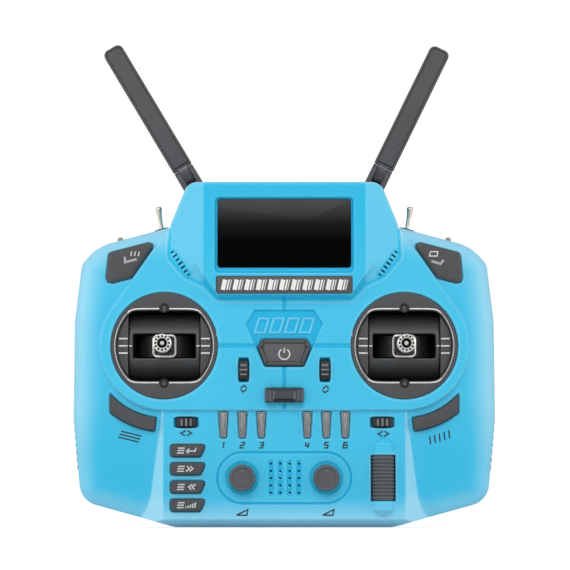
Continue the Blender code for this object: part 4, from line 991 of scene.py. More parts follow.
def circuit_board():
    """Green solder resist over copper tracks."""
    made = Finish("circuit_board")
    brick = made.fill(made.node("ShaderNodeTexBrick"), {
        "Scale": 260.0,
        "Mortar Size": 0.06,
        "Color1": (0.006, 0.09, 0.03),
        "Color2": (0.008, 0.12, 0.04),
        "Mortar": (0.02, 0.2, 0.07),
        "Vector": made.place,
    })
    rough = made.spread(made.noise(2.0), 0.3, 0.5)
    return made.finish(brick.outputs["Fac"], 0.03, Base_Color=brick.outputs["Color"], Roughness=rough)


def printed(name, colour):
    """Ink or paint: slightly uneven, barely proud of the surface."""
    made = Finish(name)
    patchy = made.noise(0.5, 3.0)
    base = made.mottle(patchy, colour, 0.85, 1.1)
    return made.finish(patchy, 0.01, Base_Color=base, Roughness=made.spread(patchy, 0.45, 0.6))


# Each mould's colour, roughness, grain size, grain depth, painted edge highlight and specular level.
MOULDS = {
    "grip_rubber": ((0.03, 0.03, 0.033), 0.8, 0.5, 0.04, 0.1),
    "dark_plastic": ((0.057, 0.059, 0.063), 0.55, 0.3, 0.02, 0.2, 0.35),
    "satin_plastic": ((0.08, 0.082, 0.087), 0.5, 0.3, 0.015, 0.2, 0.4),
    "ridge_plastic": ((0.3, 0.305, 0.315), 0.45, 0.3, 0.01, 0.1),
    "strap_plastic": ((0.03, 0.031, 0.037), 0.28, 0.3, 0.01, 0.2, 0.7),
    "drum_plastic": ((0.05, 0.052, 0.055), 0.38, 0.3, 0.012, 0.15, 0.4),
    "rib_plastic": ((0.16, 0.162, 0.168), 0.45, 0.3, 0.012, 0.1),
    "black_plastic": ((0.012, 0.012, 0.013), 0.42, 0.3, 0.015, 0.2, 0.35),
    "name_plate": ((0.055, 0.057, 0.06), 0.4, 0.25, 0.01, 0.2),
    "knurled_silver": ((0.5, 0.49, 0.47), 0.35, 0.3, 0.02, 0.3, 0.8),
    "battery_wrap": ((0.02, 0.05, 0.2), 0.35, 1.5, 0.03),
}
# Each metal's colour, roughness and the stretch of its streaks.
METALS = {
    "screw_black": ((0.06, 0.06, 0.062), 0.38),
    "silver": ((0.8, 0.77, 0.73), 0.24, (1, 1, 6)),
    "switch_nickel": ((0.68, 0.63, 0.56), 0.22, (6, 6, 1)),
    "silver_ink": ((0.86, 0.85, 0.83), 0.34),
}
INKS = {"pale_ink": (0.62, 0.62, 0.62), "dark_ink": (0.018, 0.03, 0.045)}

LOOKS = {name: moulded(name, *values) for name, values in MOULDS.items()}
LOOKS.update({name: metal(name, *values) for name, values in METALS.items()})
LOOKS.update({name: printed(name, colour) for name, colour in INKS.items()})
LOOKS.update(case_blue=case_blue(), screen_glass=screen_glass(), smoke_key=smoke_key())
LOOKS.update(circuit_board=circuit_board(), tip_top=pitted_silver())


# ---------------------------------------------------------------- bars, strokes and pictograms

RIBBON_FOOT = -0.25
MARK_SLANT = 0.2
MARK_THICKNESS = 0.06
MARK_PIECE = 1.5
MARK_RISE = 0.03


def ribbon(shape, path, width, thickness, surface, closed=False, ease=0.12):
    """A bar along a flat path, lying on a surface given as a height or a function of place."""
    path = np.asarray(path, float)
    ahead = np.roll(path, -1, axis=0) - path
    ahead /= np.maximum(TINY, np.linalg.norm(ahead, axis=1))[:, None]
    behind = np.roll(ahead, 1, axis=0)
    if not closed:
        behind[0], ahead[-1] = ahead[0], behind[-1]
    across = np.stack([-(ahead + behind)[:, 1], (ahead + behind)[:, 0]], axis=1)
    across /= np.linalg.norm(across, axis=1)[:, None]
    mitre = (across * np.stack([-ahead[:, 1], ahead[:, 0]], axis=1)).sum(1)
    across /= np.maximum(0.5, mitre)[:, None]
    level = surface(path) if callable(surface) else np.full(len(path), float(surface))
    half, ease = width / 2, min(ease, width / 3, thickness / 2)
    section = ((half, RIBBON_FOOT), (half, thickness - ease), (half - ease, thickness))
    section = [(-offset, rise) for offset, rise in section] + list(reversed(section))
    rings = [
        np.array([(*(p + n * offset), z + rise) for offset, rise in section])
        for p, n, z in zip(path, across, level)
    ]
    if closed:
        return shape.rings(rings + rings[:1], False, False)
    return shape.rings(rings)


def strokes(name, lines, at, size, body, look, surface, turn=0.0, width=0.5):
    """Strokes drawn in a unit box, sized, slanted, turned and laid on a surface as one piece."""
    shape = Shape()
    c, s = math.cos(math.radians(turn)), math.sin(math.radians(turn))
    for stroke in lines:
        flat = (np.array(stroke, float) - 0.5) * size
        flat[:, 0] += flat[:, 1] * MARK_SLANT
        flat = flat @ np.array(((c, s), (-s, c))) + at
        dense = [flat[0]]
        for a, b in zip(flat, flat[1:]):
            count = max(1, int(np.linalg.norm(b - a) / MARK_PIECE))
            dense += [a + (b - a) * (i + 1) / count for i in range(count)]
        ribbon(shape, np.array(dense) if callable(surface) else flat, width, MARK_THICKNESS, surface)
    shape.finish(name, look, body)


NUMERALS = (
    (((0.25, 0.8), (0.6, 1.0), (0.6, 0.0)),),
    (((0.0, 1.0), (1.0, 1.0), (1.0, 0.55), (0.0, 0.45), (0.0, 0.0), (1.0, 0.0)),),
    (((0.0, 1.0), (1.0, 1.0), (1.0, 0.0), (0.0, 0.0)), ((0.2, 0.5), (1.0, 0.5))),
    (((0.0, 1.0), (0.0, 0.4), (1.0, 0.4)), ((0.8, 1.0), (0.8, 0.0))),
    (((1.0, 1.0), (0.0, 1.0), (0.0, 0.55), (1.0, 0.5), (1.0, 0.0), (0.0, 0.0)),),
    (((1.0, 1.0), (0.0, 1.0), (0.0, 0.0), (1.0, 0.0), (1.0, 0.55), (0.0, 0.55)),),
)


def bars(count):
    """Upright bars side by side."""
    return tuple(((x, 0.0), (x, 1.0)) for x in np.linspace(0.0, 1.0, count))


def dashes(reach, *heights):
    """Level lines one below the other."""
    return tuple(((0.0, y), (reach, y)) for y in heights)


def chevrons(direction):
    """Two arrow heads one behind the other."""
    reach = 1 / 2.6
    for i in range(2):
        x = reach * i if direction > 0 else 1 - reach * i
        yield ((x, 1.0), (x + direction * reach * 0.9, 0.5), (x, 0.0))


RETURN_ARROW = (((1.0, 1.0), (1.0, 0.4), (0.05, 0.4)), ((0.3, 0.85), (0.02, 0.4), (0.3, -0.05)))
RISING_BARS = tuple(((x, 0.0), (x, 0.25 + 0.75 * x)) for x in (0.0, 0.25, 0.5, 0.75, 1.0))
UP_DOWN = (((0.0, 0.6), (0.5, 1.05), (1.0, 0.6)), ((0.0, 0.4), (0.5, -0.05), (1.0, 0.4)))
LEFT_RIGHT = (((0.42, 1.0), (0.0, 0.5), (0.42, 0.0)), ((0.58, 1.0), (1.0, 0.5), (0.58, 0.0)))
WEDGE = (((0.0, 0.0), (1.0, 1.0), (1.0, 0.0), (0.12, 0.0)),)

NUMERAL_HEIGHT = 34.8
FACE_MARKS = (
    ("left_menu_mark", dashes(1.0, 0.9, 0.5, 0.1), (-65.9, 38.5), (9.0, 3.4), -14),
    ("right_menu_mark", bars(5), (66.3, 38.2), (8.5, 3.4), 17),
    ("left_upper_trim_mark", UP_DOWN, (-17.3, 58.8), (2.6, 2.6), 0),
    ("right_upper_trim_mark", UP_DOWN, (17.6, 58.5), (2.6, 2.6), 0),
    ("left_lower_trim_mark", LEFT_RIGHT, (-41.8, 39.9), (4.6, 2.2), 0),
    ("right_lower_trim_mark", LEFT_RIGHT, (42.2, 39.6), (4.6, 2.2), 0),
    ("left_knob_mark", WEDGE, (-17.9, 6.3), (4.4, 2.4), 0),
    ("right_knob_mark", WEDGE, (18.7, 6.3), (4.4, 2.4), 0),
)


def face_labels():
    """Generic marks where the face is printed: numerals under the keys and plain pictograms."""
    for number, name in enumerate(KEYS):
        at = (Spot(name).centre[0], NUMERAL_HEIGHT)
        label = f"numeral_{number + 1}"
        strokes(label, NUMERALS[number], at, (1.5, 2.3), "case", "dark_ink", front_height, width=0.6)
    for name, lines, at, size, turn in FACE_MARKS:
        strokes(name, lines, at, size, "case", "dark_ink", front_height, turn, 0.62)


# ---------------------------------------------------------------- caps, screen and plates


NAV_FOOT = 7.0
KEY_FOOT = 8.0
WIDE_BUTTON_FOOT = 5.0


def cap(name, outline, low, top, edge, look, body, node):
    """A button's cap with a rounded upper edge."""
    Shape(cap_rings(outline, low, top, edge, 4)).finish(name, look, body, node, look)


def buttons():
    """The four pictogram keys, the curved buttons and the shoulder buttons."""
    for name, lines in zip(NAV_BUTTONS, (RETURN_ARROW, chevrons(1), chevrons(-1), RISING_BARS)):
        spot = Spot(name)
        cap(f"{name}_cap", cap_outline(name), NAV_FOOT, spot.top, 0.55, "dark_plastic", name, name)
        moved = tuple(tuple((0.5 + 0.5 * x, y) for x, y in stroke) for stroke in lines)
        picture = dashes(0.38, 0.95, 0.5, 0.05) + moved
        at = spot.centre[:2] + (-0.4, 0)
        strokes(f"{name}_mark", picture, at, (7.6, 2.3), name, "pale_ink", spot.top + MARK_RISE)
    for side, _ in SIDES:
        name = f"menu_button_{side}"
        top = Spot(name).top
        cap(f"{name}_cap", menu_outline(side), WIDE_BUTTON_FOOT, top, 0.6, "dark_plastic", name, name)
        corner_button(side)


CORNER_MARKS = {
    "left": (bars(3), -64.0, ((-68.3, 115.3), (-68.2, 113.0), (-63.2, 114.3))),
    "right": (
        (((0.0, 1.0), (1.0, 1.0), (1.0, 0.0), (0.0, 0.0), (0.0, 0.94)),),
        64.0,
        ((68.3, 114.0), (66.9, 112.3), (63.0, 113.5)),
    ),
}
CORNER_MARK_HEIGHT = 116.6
CORNER_CHAMFER = ((0, -0.9), (-0.15, -0.75), (-1.2, -0.05), (-1.4, 0))
KEY_EDGE = 0.25
KEY_RIDGE = (((0.45, 0.93), -0.25), ((0.12, 0.8), 0.1))
RING_WIDTH = 1.45
RING_EDGE = 0.5
POWER_MARK_RADIUS = 2.3
POWER_MARK_OPENING = 0.32 * math.pi
POWER_MARK_WIDTH = 0.55


def corner_button(side):
    """Shield-shaped shoulder button: a wide chamfer, a raised bent ridge and small marks."""
    name = f"corner_button_{side}"
    top = Spot(name).top
    levels = ((0, WIDE_BUTTON_FOOT), *((outset, top + rise) for outset, rise in CORNER_CHAMFER))
    shield = Shape(stack(fine_outline(cap_outline(name)), levels))
    shield.finish(f"{name}_cap", "dark_plastic", name, name, "dark_plastic")
    lines, x, ridge = CORNER_MARKS[side]
    at = np.array((x, CORNER_MARK_HEIGHT))
    strokes(f"{name}_mark", lines, at, (3.2, 1.9), name, "pale_ink", top + MARK_RISE)
    bar = ribbon(Shape(), ridge, 1.1, 0.2, top)
    bar.finish(f"{name}_ridge", "ridge_plastic", name, slot="dark_plastic")


def keys():
    """Six tapered keys, each with a ridge down its middle."""
    for name in KEYS:
        spot = Spot(name)
        outline = fine_outline(cap_outline(name, 1.0))
        rings = cap_rings(outline, KEY_FOOT, spot.top, KEY_EDGE, 2)
        middle = spot.centre[:2]
        inner = offset_outline(outline, -KEY_EDGE) - middle
        for shrink, rise in KEY_RIDGE:
            rings.append(ring_at(inner * shrink + middle, spot.top + rise))
        Shape(rings).finish(f"{name}_cap", "smoke_key", name, name, "smoke_key")


def power():
    """The power button with its ring and the usual stand-by pictogram."""
    ring, button = Spot("power_bezel"), Spot("power_button")
    outline = fine_outline(cap_outline("power_bezel"))
    inner = offset_outline(outline, -RING_WIDTH)
    rings = cap_rings(outline, ring.low[2], ring.top, RING_EDGE)
    rings += stack(inner, ((0, ring.top), (-0.2, ring.top - 0.4), (-0.2, ring.low[2])))
    bezel = Shape(rings + rings[:1], False, False)
    bezel.finish("power_ring", "dark_plastic", "case", "power_bezel", "black_plastic")
    rings = cap_rings(cap_outline("power_button"), WIDE_BUTTON_FOOT, button.top, 0.35, 4)
    Shape(rings).finish("power_button_cap", "satin_plastic", "power_button", "power_button", "dark_plastic")
    centre = np.array((0.0, button.centre[1] - 0.7))
    ends = (math.pi - POWER_MARK_OPENING, 2 * math.pi + POWER_MARK_OPENING)
    mark = Shape()
    for path in (arc(centre, POWER_MARK_RADIUS, *ends, 24), centre + np.array([(0, 0.5), (0, 2.6)])):
        ribbon(mark, path, POWER_MARK_WIDTH, 0.1, button.top)
    mark.finish("power_mark", "pale_ink", "power_button")


def display():
    """The display's window."""
    outline = box_outline(LENS.centre[:2], LENS.size[:2], 1.5)
    rings = cap_rings(outline, LENS.low[2], LENS.top, 0.3)
    Shape(rings).finish("screen", "screen_glass", "case", "screen_lens", "screen_glass")


BLOCK_COUNT = 11
BLOCK_BARS = ((-0.9, 1.9), (0.85, 0.7), (1.85, 0.35))


def name_strip():
    """The strip below the display, with a row of plain slanted blocks where a name would be."""
    spot = NAME_PLATE
    outline = box_outline(spot.centre[:2], spot.size[:2], 0.8)
    cap("name_strip", outline, spot.low[2], spot.top, 0.2, "name_plate", "case", "name_plate")
    shape = Shape()
    reach = spot.size[0] - 3.5
    y, half, lean = spot.centre[1], 2.2, 0.5
    for i in range(BLOCK_COUNT):
        x = reach * ((i + 0.5) / BLOCK_COUNT - 0.5)
        for shift, width in BLOCK_BARS:
            ends = [(x + shift - lean, y - half), (x + shift + lean, y + half)]
            ribbon(shape, ends, width, 0.12, spot.top)
    shape.finish("name_strip_blocks", "silver_ink", "case")


def emblem():
    """Plain slanted blocks standing on the floor of the six-sided recess."""
    shape = Shape()
    y, half, reach, lean = 85.8, 3.0, 2.1, 0.9
    for x in (-9.6, -3.2, 3.2, 9.6):
        outline = np.array([(x + a * reach + b * lean, y + b * half) for a, b in SQUARE])
        ribbon(shape, fine_outline(outline), 1.0, 0.5, HEX_FLOOR, closed=True, ease=0.3)
    shape.finish("emblem_blocks", "case_blue", "case", slot="case_blue")


STRAP_FOOT = 5.2
STRAP_WAIST = 5.0
STRAP_SLOPE_FROM = 5.4
STRAP_SLOPE_DROP = 2.6
STRAP_DIP_HALF_WIDTH = 3.9
STRAP_DIP = 0.6
STRAP_THICKNESS = 2.4
STRAP_NOTCH_HALF_WIDTH = 3.2
STRAP_NOTCH = 1.5
STRAP_END = 0.8
STRAP_CHAMFERS = (0.85, 1.6, 0.45)
STRAP_STEP = 4.6
STRAP_PAINTED_SHADE_REACH = 5.4
STRAP_SLICES = 67


def strap_section(away, spot):
    """Cross-section of the strap bar at a distance from its middle."""
    half_width, half_height = spot.size[:2] / 2
    top = spot.top - STRAP_SLOPE_DROP * step((away - STRAP_SLOPE_FROM) / (half_width - STRAP_SLOPE_FROM))
    top = top - STRAP_DIP * (1 - step((away - STRAP_DIP_HALF_WIDTH) / 0.9))
    low = spot.low[2] if away > STRAP_FOOT else spot.top - STRAP_THICKNESS
    outer = step((away - STRAP_WAIST) / (half_width - STRAP_WAIST))
    lower_chamfer, upper_chamfer, end_chamfer = STRAP_CHAMFERS
    chamfer, upper = mix(lower_chamfer, end_chamfer, outer), mix(upper_chamfer, end_chamfer, outer)
    back = half_height - 0.5 * step((away - half_width + STRAP_END) / STRAP_END)
    front = STRAP_NOTCH * (1 - step((away - STRAP_NOTCH_HALF_WIDTH) / 1.9)) - back
    return ((front, low), (front, top - chamfer), (front + chamfer, top),
            (back - upper, top), (back, top - upper), (back, low))


def strap_bar():
    """The neck-strap bar: an arch whose middle is thinned on all sides to take a clip, with paler strips as
    painted highlights on its steps and a black strip as painted shade under the arch.
    """
    spot = Spot("strap_bar")
    x, y = spot.centre[:2]
    half_width, half_height = spot.size[:2] / 2
    rings = [
        np.array([(x + dx, y + dy, z) for dy, z in strap_section(abs(dx), spot)])
        for dx in np.linspace(-half_width, half_width, STRAP_SLICES)
    ]
    # Paler strips on the steps are painted highlights.
    steps = Shape()
    for dx in (-STRAP_STEP, STRAP_STEP):
        ribbon(steps, [(x + dx, y - 0.9), (x + dx, y + 1.5)], 0.7, 0.12, spot.top - 0.45)
    # A black strip under the middle is painted shade beneath the arch.
    low = y - half_height + 0.9
    path = [(x - STRAP_PAINTED_SHADE_REACH, low), (x + STRAP_PAINTED_SHADE_REACH, low)]
    painted_hollow_shade = ribbon(Shape(), path, 1.7, 0.3, spot.top - 2.7)
    parts = {
        "steps": (steps, "rib_plastic"),
        "painted_hollow_shade": (painted_hollow_shade, "black_plastic"),
        "arch": (Shape(rings), "strap_plastic"),
    }
    for part, (shape, look) in parts.items():
        shape.finish(f"strap_bar_{part}", look, "case", "strap_bar", "dark_plastic", 25)


# ---------------------------------------------------------------- gimbals

WINDOW_RADIUS = 20.5
WINDOW_HALF_HEIGHT = 15.2
WINDOW_SHARPNESS = 1.2
ROOM_HALF_WIDTH = 15.4
RING_STEPS = 180
PIVOT_DEPTH = -3.5
DRUM_RADIUS = 15.0
DRUM_HALF_WIDTH = 15.1
DRUM_SLOT = (27.1, 10.8)
LIP_RADII = (14.85, 14.1)
LIP_ANGLES = (1.29, 1.83)
LIP_HALF_WIDTH = 15.05
ORIGIN = (0, 0)

# (radius, height) levels outside the bezel's window, then (growth, height) levels of the window.
BEZEL_EDGE = ((22.8, -2.5), (22.8, -0.25), (22.6, -0.05), (22.3, 0.0))
BEZEL_LIP = ((0.25, 0.0), (0.05, -0.08), (-0.05, -0.3), (-0.05, -2.4))
BEZEL_LINE_GROWTH = 0.62
CHEEK_RADIUS = 20.2
CHEEK_CORNERS = ((-15.5, 12.6), (-18.9, 7.6))
CHEEK_FLAT = 7.2
CHEEK_DROP = 1.5
YOKE = ((0, -4.9), (11.9, -4.9), (12.3, -4.5), (12.3, 4.5), (11.9, 4.9), (0, 4.9))
COLLAR = ((0, 6.5), (0, 9.8), (-0.15, 10.15), (-0.45, 10.3), (-0.9, 10.25), (-1.15, 9.9), (-1.2, 8.9))
COLLAR_WELL = ((-1.1, 9.0), (-2.2, 8.8), (-3.1, 9.3))
SHAFT = ((1.8, 8.5), (1.8, 27.0), (1.6, 28.9), (0, 28.9))
TIP_RADIUS = 3.9
TIP_TEETH = 24
TIP_TOOTH = 0.28
TIP_FOOT = ((2.9, 0.0), (3.7, 0.7), (3.9, 1.2))
TIP_HEAD = ((3.9, -3.0), (3.4, -2.7), (3.4, -2.2), (3.9, -1.9), (3.9, -0.35))
TIP_PITS = 12
TIP_PIT_RADIUS = 2.95
ALONG_Y = ((1, 0, 0), (0, 0, -1), (0, 1, 0))


def window_ring(growth, steps=RING_STEPS):
    """The bezel's window: a circle cut level above and below, with soft corners."""
    circle_part = math.exp(-(WINDOW_RADIUS + growth) * WINDOW_SHARPNESS)

    def radius(a):
        level = min((WINDOW_HALF_HEIGHT + growth) / max(TINY, abs(math.sin(a))), 60.0)
        return -math.log(circle_part + math.exp(-level * WINDOW_SHARPNESS)) / WINDOW_SHARPNESS

    return around(radius, steps)


def room_radius(a):
    """Reach of the square room behind the window."""
    sides = ROOM_HALF_WIDTH / max(TINY, abs(math.cos(a)))
    return min(sides, WINDOW_HALF_HEIGHT / max(TINY, abs(math.sin(a))))


def gimbal_frame(side):
    """Bezel with its silver line, the well behind its window and a cheek each side of the drum."""
    spot, node = GIMBAL[side], f"{side}_gimbal_frame"
    centre, top = spot.centre[:2], spot.top
    bezel = [(circle(ORIGIN, radius, RING_STEPS), rise) for radius, rise in BEZEL_EDGE]
    bezel += [(window_ring(growth), rise) for growth, rise in BEZEL_LIP]
    rings = [ring_at(ring + centre, top + rise) for ring, rise in bezel]
    Shape(rings, False, False).finish(f"{side}_bezel", "dark_plastic", "case", node, "dark_plastic")

    room = around(room_radius, RING_STEPS)
    rings = [ring_at(window_ring(0.2) + centre, top - 2.3)]
    for shrink, height in ((1.0, top - 2.3), (0.995, top - 2.8), (0.99, spot.low[2])):
        rings.append(ring_at(room * shrink + centre, height))
    Shape(rings, False).finish(f"{side}_well", "black_plastic", "case", node, "black_plastic")

    for name, sign in SIDES:
        gimbal_cheek(f"{side}_cheek_{name}", sign, centre, top - CHEEK_DROP, node)
    bezel_line(centre, top).finish(f"{side}_bezel_trim", "silver_ink", "case", node, "silver")


def gimbal_cheek(name, sign, centre, top, node):
    """The flat plate beside the drum, with three printed lines."""
    reach = math.asin(CHEEK_FLAT / CHEEK_RADIUS)
    corners = np.array(CHEEK_CORNERS)
    rim = arc(ORIGIN, CHEEK_RADIUS, math.pi - reach, math.pi + reach, 12)
    outline = np.vstack([corners, rim, corners[::-1] * (1, -1)]) * (-sign, 1)
    rings = cap_rings(outline[::-sign] + centre, top - 1.5, top, 0.25, 2)
    Shape(rings).finish(name, "dark_plastic", "case", node, "dark_plastic")
    marks = Shape()
    for dy in (-3.1, 0.0, 3.1):
        ribbon(marks, centre + np.array([(sign * 15.7, dy), (sign * 19.4, dy)]), 0.6, 0.08, top)
    marks.finish(f"{name}_marks", "silver_ink", "case", node, "silver")


def bezel_line(centre, top):
    """The bright line round the window: thin at the sides, wider above and below."""
    shape = Shape()
    path = window_ring(BEZEL_LINE_GROWTH, 4 * RING_STEPS)
    for _, sign in SIDES:
        half = path[path[:, 0] * sign > 2.2]
        half = half[np.argsort(half[:, 1])]
        side_run = half[np.abs(half[:, 1]) < 14.2]
        ribbon(shape, side_run[::6] + centre, 0.26, 0.08, top)
        for level in (-1, 1):
            run = half[half[:, 1] * level > 14.0]
            run = run[np.argsort(run[:, 0])]
            ribbon(shape, run[::4] + centre, 0.6, 0.14, top)
    return shape


def hexagon_radius(a):
    """Reach of a six-sided socket whose flats are 1 from its middle."""
    return 1 / math.cos(math.radians(30) - a % math.radians(60))


def bezel_screws(side):
    """A screw above and below the window, each in a dark seat."""
    for end in ("upper", "lower"):
        node = f"{side}_bezel_screw_{end}"
        spot = Spot(node)
        centre, top = spot.centre[:2], spot.top
        hexagon = around(hexagon_radius, 24) * 0.72
        rings = [
            ring_at(circle(centre, radius, 24), height)
            for radius, height in ((1.65, spot.low[2]), (1.65, top - 0.2), (1.5, top), (1.05, top))
        ]
        rings += [ring_at(hexagon + centre, top - depth) for depth in (0.12, 0.65)]
        Shape(rings, False).finish(f"{node}_head", "screw_black", "case", node, "screw_black")
        rings = [
            ring_at(circle(centre, radius, 24), top + rise)
            for radius, rise in ((2.05, 0.02), (1.6, 0.02), (1.6, -0.4))
        ]
        Shape(rings, False, False).finish(f"{node}_seat", "black_plastic", "case", node, "screw_black")


def gimbal_drum(side):
    """Skin of the tilting drum with its slot, the lips that close it, and two index marks."""
    node, body = f"{side}_gimbal_drum", f"{side}_drum"
    centre = GIMBAL[side].centre[:2]
    outline = box_outline(centre, (2 * DRUM_HALF_WIDTH, 29.0), 0.4, 3)
    slot = box_outline(centre, DRUM_SLOT, 0.9, 5)

    def height(points):
        dx, dy = (points - centre).T
        top = PIVOT_DEPTH + np.sqrt(np.clip(DRUM_RADIUS**2 - dy**2, 0.5, None))
        away = distance(points, slot, 2.0)
        return top - 0.35 * (1 - step(away / 0.5)) - 0.4 * step((np.abs(dx) - DRUM_HALF_WIDTH + 0.5) / 0.5)

    relief = Relief(0.35, outline, [slot], height, PIVOT_DEPTH + 3.0, opening_depth=9.0)
    relief.build(f"{side}_drum", "drum_plastic", body, node, "black_plastic")
    lips = Shape()
    for level in (-1, 1):
        outer, inner = (arc(ORIGIN, radius, *LIP_ANGLES, 12)[:, ::-1] for radius in LIP_RADII)
        section = np.vstack([outer, inner[::-1]])[::level] * (level, 1)
        ends = [np.column_stack([np.full(len(section), sign * LIP_HALF_WIDTH), section]) for _, sign in SIDES]
        lips.rings([ring + (*centre, PIVOT_DEPTH) for ring in ends])
    lips.finish(f"{side}_drum_lips", "drum_plastic", body, node, "black_plastic")
    marks = Shape()
    for _, sign in SIDES:
        path = centre + np.array([(sign * 13.75, 0), (sign * 15.0, 0)])
        ribbon(marks, path, 0.5, 0.06, PIVOT_DEPTH + DRUM_RADIUS)
    marks.finish(f"{side}_drum_marks", "silver_ink", body, node, "silver")


def stick(side):
    """Yoke disc, collar, shaft and knurled tip."""
    body, node = f"{side}_stick", f"{side}_stick_yoke"
    x, y = GIMBAL[side].centre[:2]
    outline = box_outline((x, y), (10.4, 10.0), 2.2, 5)
    yoke = lathe(YOKE, 96, (x, y, PIVOT_DEPTH), ALONG_Y)
    yoke.finish(f"{side}_yoke", "black_plastic", body, node, "black_plastic")
    collar = Shape(stack(outline, COLLAR), True, False)
    collar.finish(f"{side}_collar", "silver", body, node, "silver")
    well = Shape(stack(outline, COLLAR_WELL), False)
    well.finish(f"{side}_collar_well", "black_plastic", body, node, "silver")
    lathe(SHAFT, 32, (x, y, 0)).finish(f"{side}_shaft", "silver", body, node, "silver")
    stick_tip(side, (x, y))


def stick_tip(side, centre):
    """Knurled sides, and a top with a ring of twelve pits round a sunk screw."""
    body, node = f"{side}_stick", f"{side}_stick_tip"
    spot = Spot(node)
    top = spot.top
    levels = [(radius, spot.low[2] + rise, TIP_TOOTH) for radius, rise in TIP_FOOT]
    levels += [(radius, top + rise, TIP_TOOTH) for radius, rise in TIP_HEAD]
    tip = Shape(fluted(centre, levels, TIP_TEETH, 6 * TIP_TEETH), True, False)
    tip.finish(f"{side}_tip_side", "knurled_silver", body, node, "silver")

    def height(points):
        dx, dy = (points - centre).T
        away, turned = np.hypot(dx, dy), np.arctan2(dy, dx) / (2 * math.pi)
        across = np.abs((turned * TIP_PITS + 0.5) % 1 - 0.5) / TIP_PITS * 2 * math.pi * away
        pit = step((0.42 - np.maximum(across, np.abs(away - TIP_PIT_RADIUS))) / 0.12)
        dish = 1 - step((away - 1.95) / 0.2)
        screw = 1 - step((away - 0.85) / 0.15)
        return top - 0.3 * step((away - 3.4) / 0.45) - pit - 1.6 * dish * (1 - screw) - 0.5 * screw

    relief = Relief(0.11, circle(centre, TIP_RADIUS - 0.1, 72), [], height, top - 0.8)
    relief.build(f"{side}_tip_top", "tip_top", body, node, "silver", pit_painted_shade)


def pit_painted_shade(points):
    """Painted shade: black in the hollows of the stick's tip."""
    depth = points[:, 2].max() - points[:, 2]
    return -step((depth - 0.45) / 0.3)


# ---------------------------------------------------------------- trims, knobs and roller

ROCKER_RADIUS = 7.0
ROCKER_FOOT = 4.0
ROCKER_HALF_ANGLE = 0.63
ROCKER_SLICES = ((-1.85, 0.3), (-1.6, 0.0), (1.6, 0.0), (1.85, 0.3))
RIB_ANGLE = 0.28
KNOB_FLUTES = 36
KNOB_FOOT = ((3.0, 8.0, 0), (5.4, 11.0, 0), (5.7, 11.4, 0.12))
KNOB_RIM = ((5.7, -1.2, 0.12), (5.45, -0.5, 0.1), (5.1, -0.1, 0), (4.7, 0, 0),
            (4.4, -0.1, 0), (4.2, -0.5, 0), (2.0, -0.55, 0))
ROLLER_AXIS = 10.2
ROLLER_HALF_LENGTH = 9.5
ROLLER_RIBS = 12
ROLLER_PITCH = 1.53
ROLLER_RIB = ((4.4, 0.0), (4.8, 0.3), (4.9, 0.6), (4.8, 0.95), (4.4, 1.2))


def trims():
    """Rockers that follow an arc, each with three bright ribs across its middle."""
    for name in TRIMS:
        centre, _, _, upright = trim_box(name)
        axle = Spot(name).top - ROCKER_RADIUS
        upright_angle = math.pi / 2
        ends = (upright_angle + ROCKER_HALF_ANGLE, upright_angle - ROCKER_HALF_ANGLE)
        section = arc(ORIGIN, ROCKER_RADIUS, *ends, 28)
        foot = ROCKER_FOOT / ROCKER_RADIUS
        section = np.vstack([section[:1] * foot, section, section[-1:] * foot])
        rings = []
        for across, inset in ROCKER_SLICES:
            along, rise = (section * (1 - inset / ROCKER_RADIUS)).T
            flat = (np.full(len(along), across), along)
            x, y = flat if upright else flat[::-1]
            rings.append(np.column_stack([centre[0] + x, centre[1] + y, axle + rise]))
        Shape(rings).finish(f"{name}_rocker", "black_plastic", name, name, "black_plastic")
        ribs = Shape()
        for turn, half in ((-RIB_ANGLE, 1.45), (0.0, 1.65), (RIB_ANGLE, 1.45)):
            along, rise = ROCKER_RADIUS * math.sin(turn), ROCKER_RADIUS * math.cos(turn)
            ends = [(-half, along), (half, along)] if upright else [(along, -half), (along, half)]
            ribbon(ribs, centre + np.array(ends), 0.75, 0.35, axle + rise - 0.05, ease=0.2)
        ribs.finish(f"{name}_ribs", "rib_plastic", name, name, "black_plastic")


def knobs():
    """Two dials with a raised rim, fluted sides and a pointer."""
    for side, _ in SIDES:
        name, spot = f"knob_{side}", KNOBS[side]
        x, y, _ = spot.centre
        levels = KNOB_FOOT + tuple((radius, spot.top + rise, depth) for radius, rise, depth in KNOB_RIM)
        rings = fluted((x, y), levels, KNOB_FLUTES, 4 * KNOB_FLUTES)
        Shape(rings).finish(f"{name}_cap", "satin_plastic", name, name, "dark_plastic")
        pointer = ribbon(Shape(), [(x, y + 2.6), (x, y + 3.4)], 0.5, 0.06, spot.top - 0.53)
        pointer.finish(f"{name}_pointer", "rib_plastic", name, name, "dark_plastic")


def roller():
    """A roller with ribs all the way round."""
    x, y, _ = ROLLER.centre
    half = ROLLER_HALF_LENGTH
    profile = [(0, -half), (4.3, -half)]
    for i in range(ROLLER_RIBS):
        start = -half + 0.3 + ROLLER_PITCH * (i + 0.1)
        profile += [(radius, start + along) for radius, along in ROLLER_RIB]
    profile += [(4.3, half), (0, half)]
    shape = lathe(profile, 72, (x, y, ROLLER_AXIS), ALONG_Y)
    shape.finish("roller", "satin_plastic", "scroll_roller", "scroll_roller", "dark_plastic")


# ---------------------------------------------------------------- switches and antennas

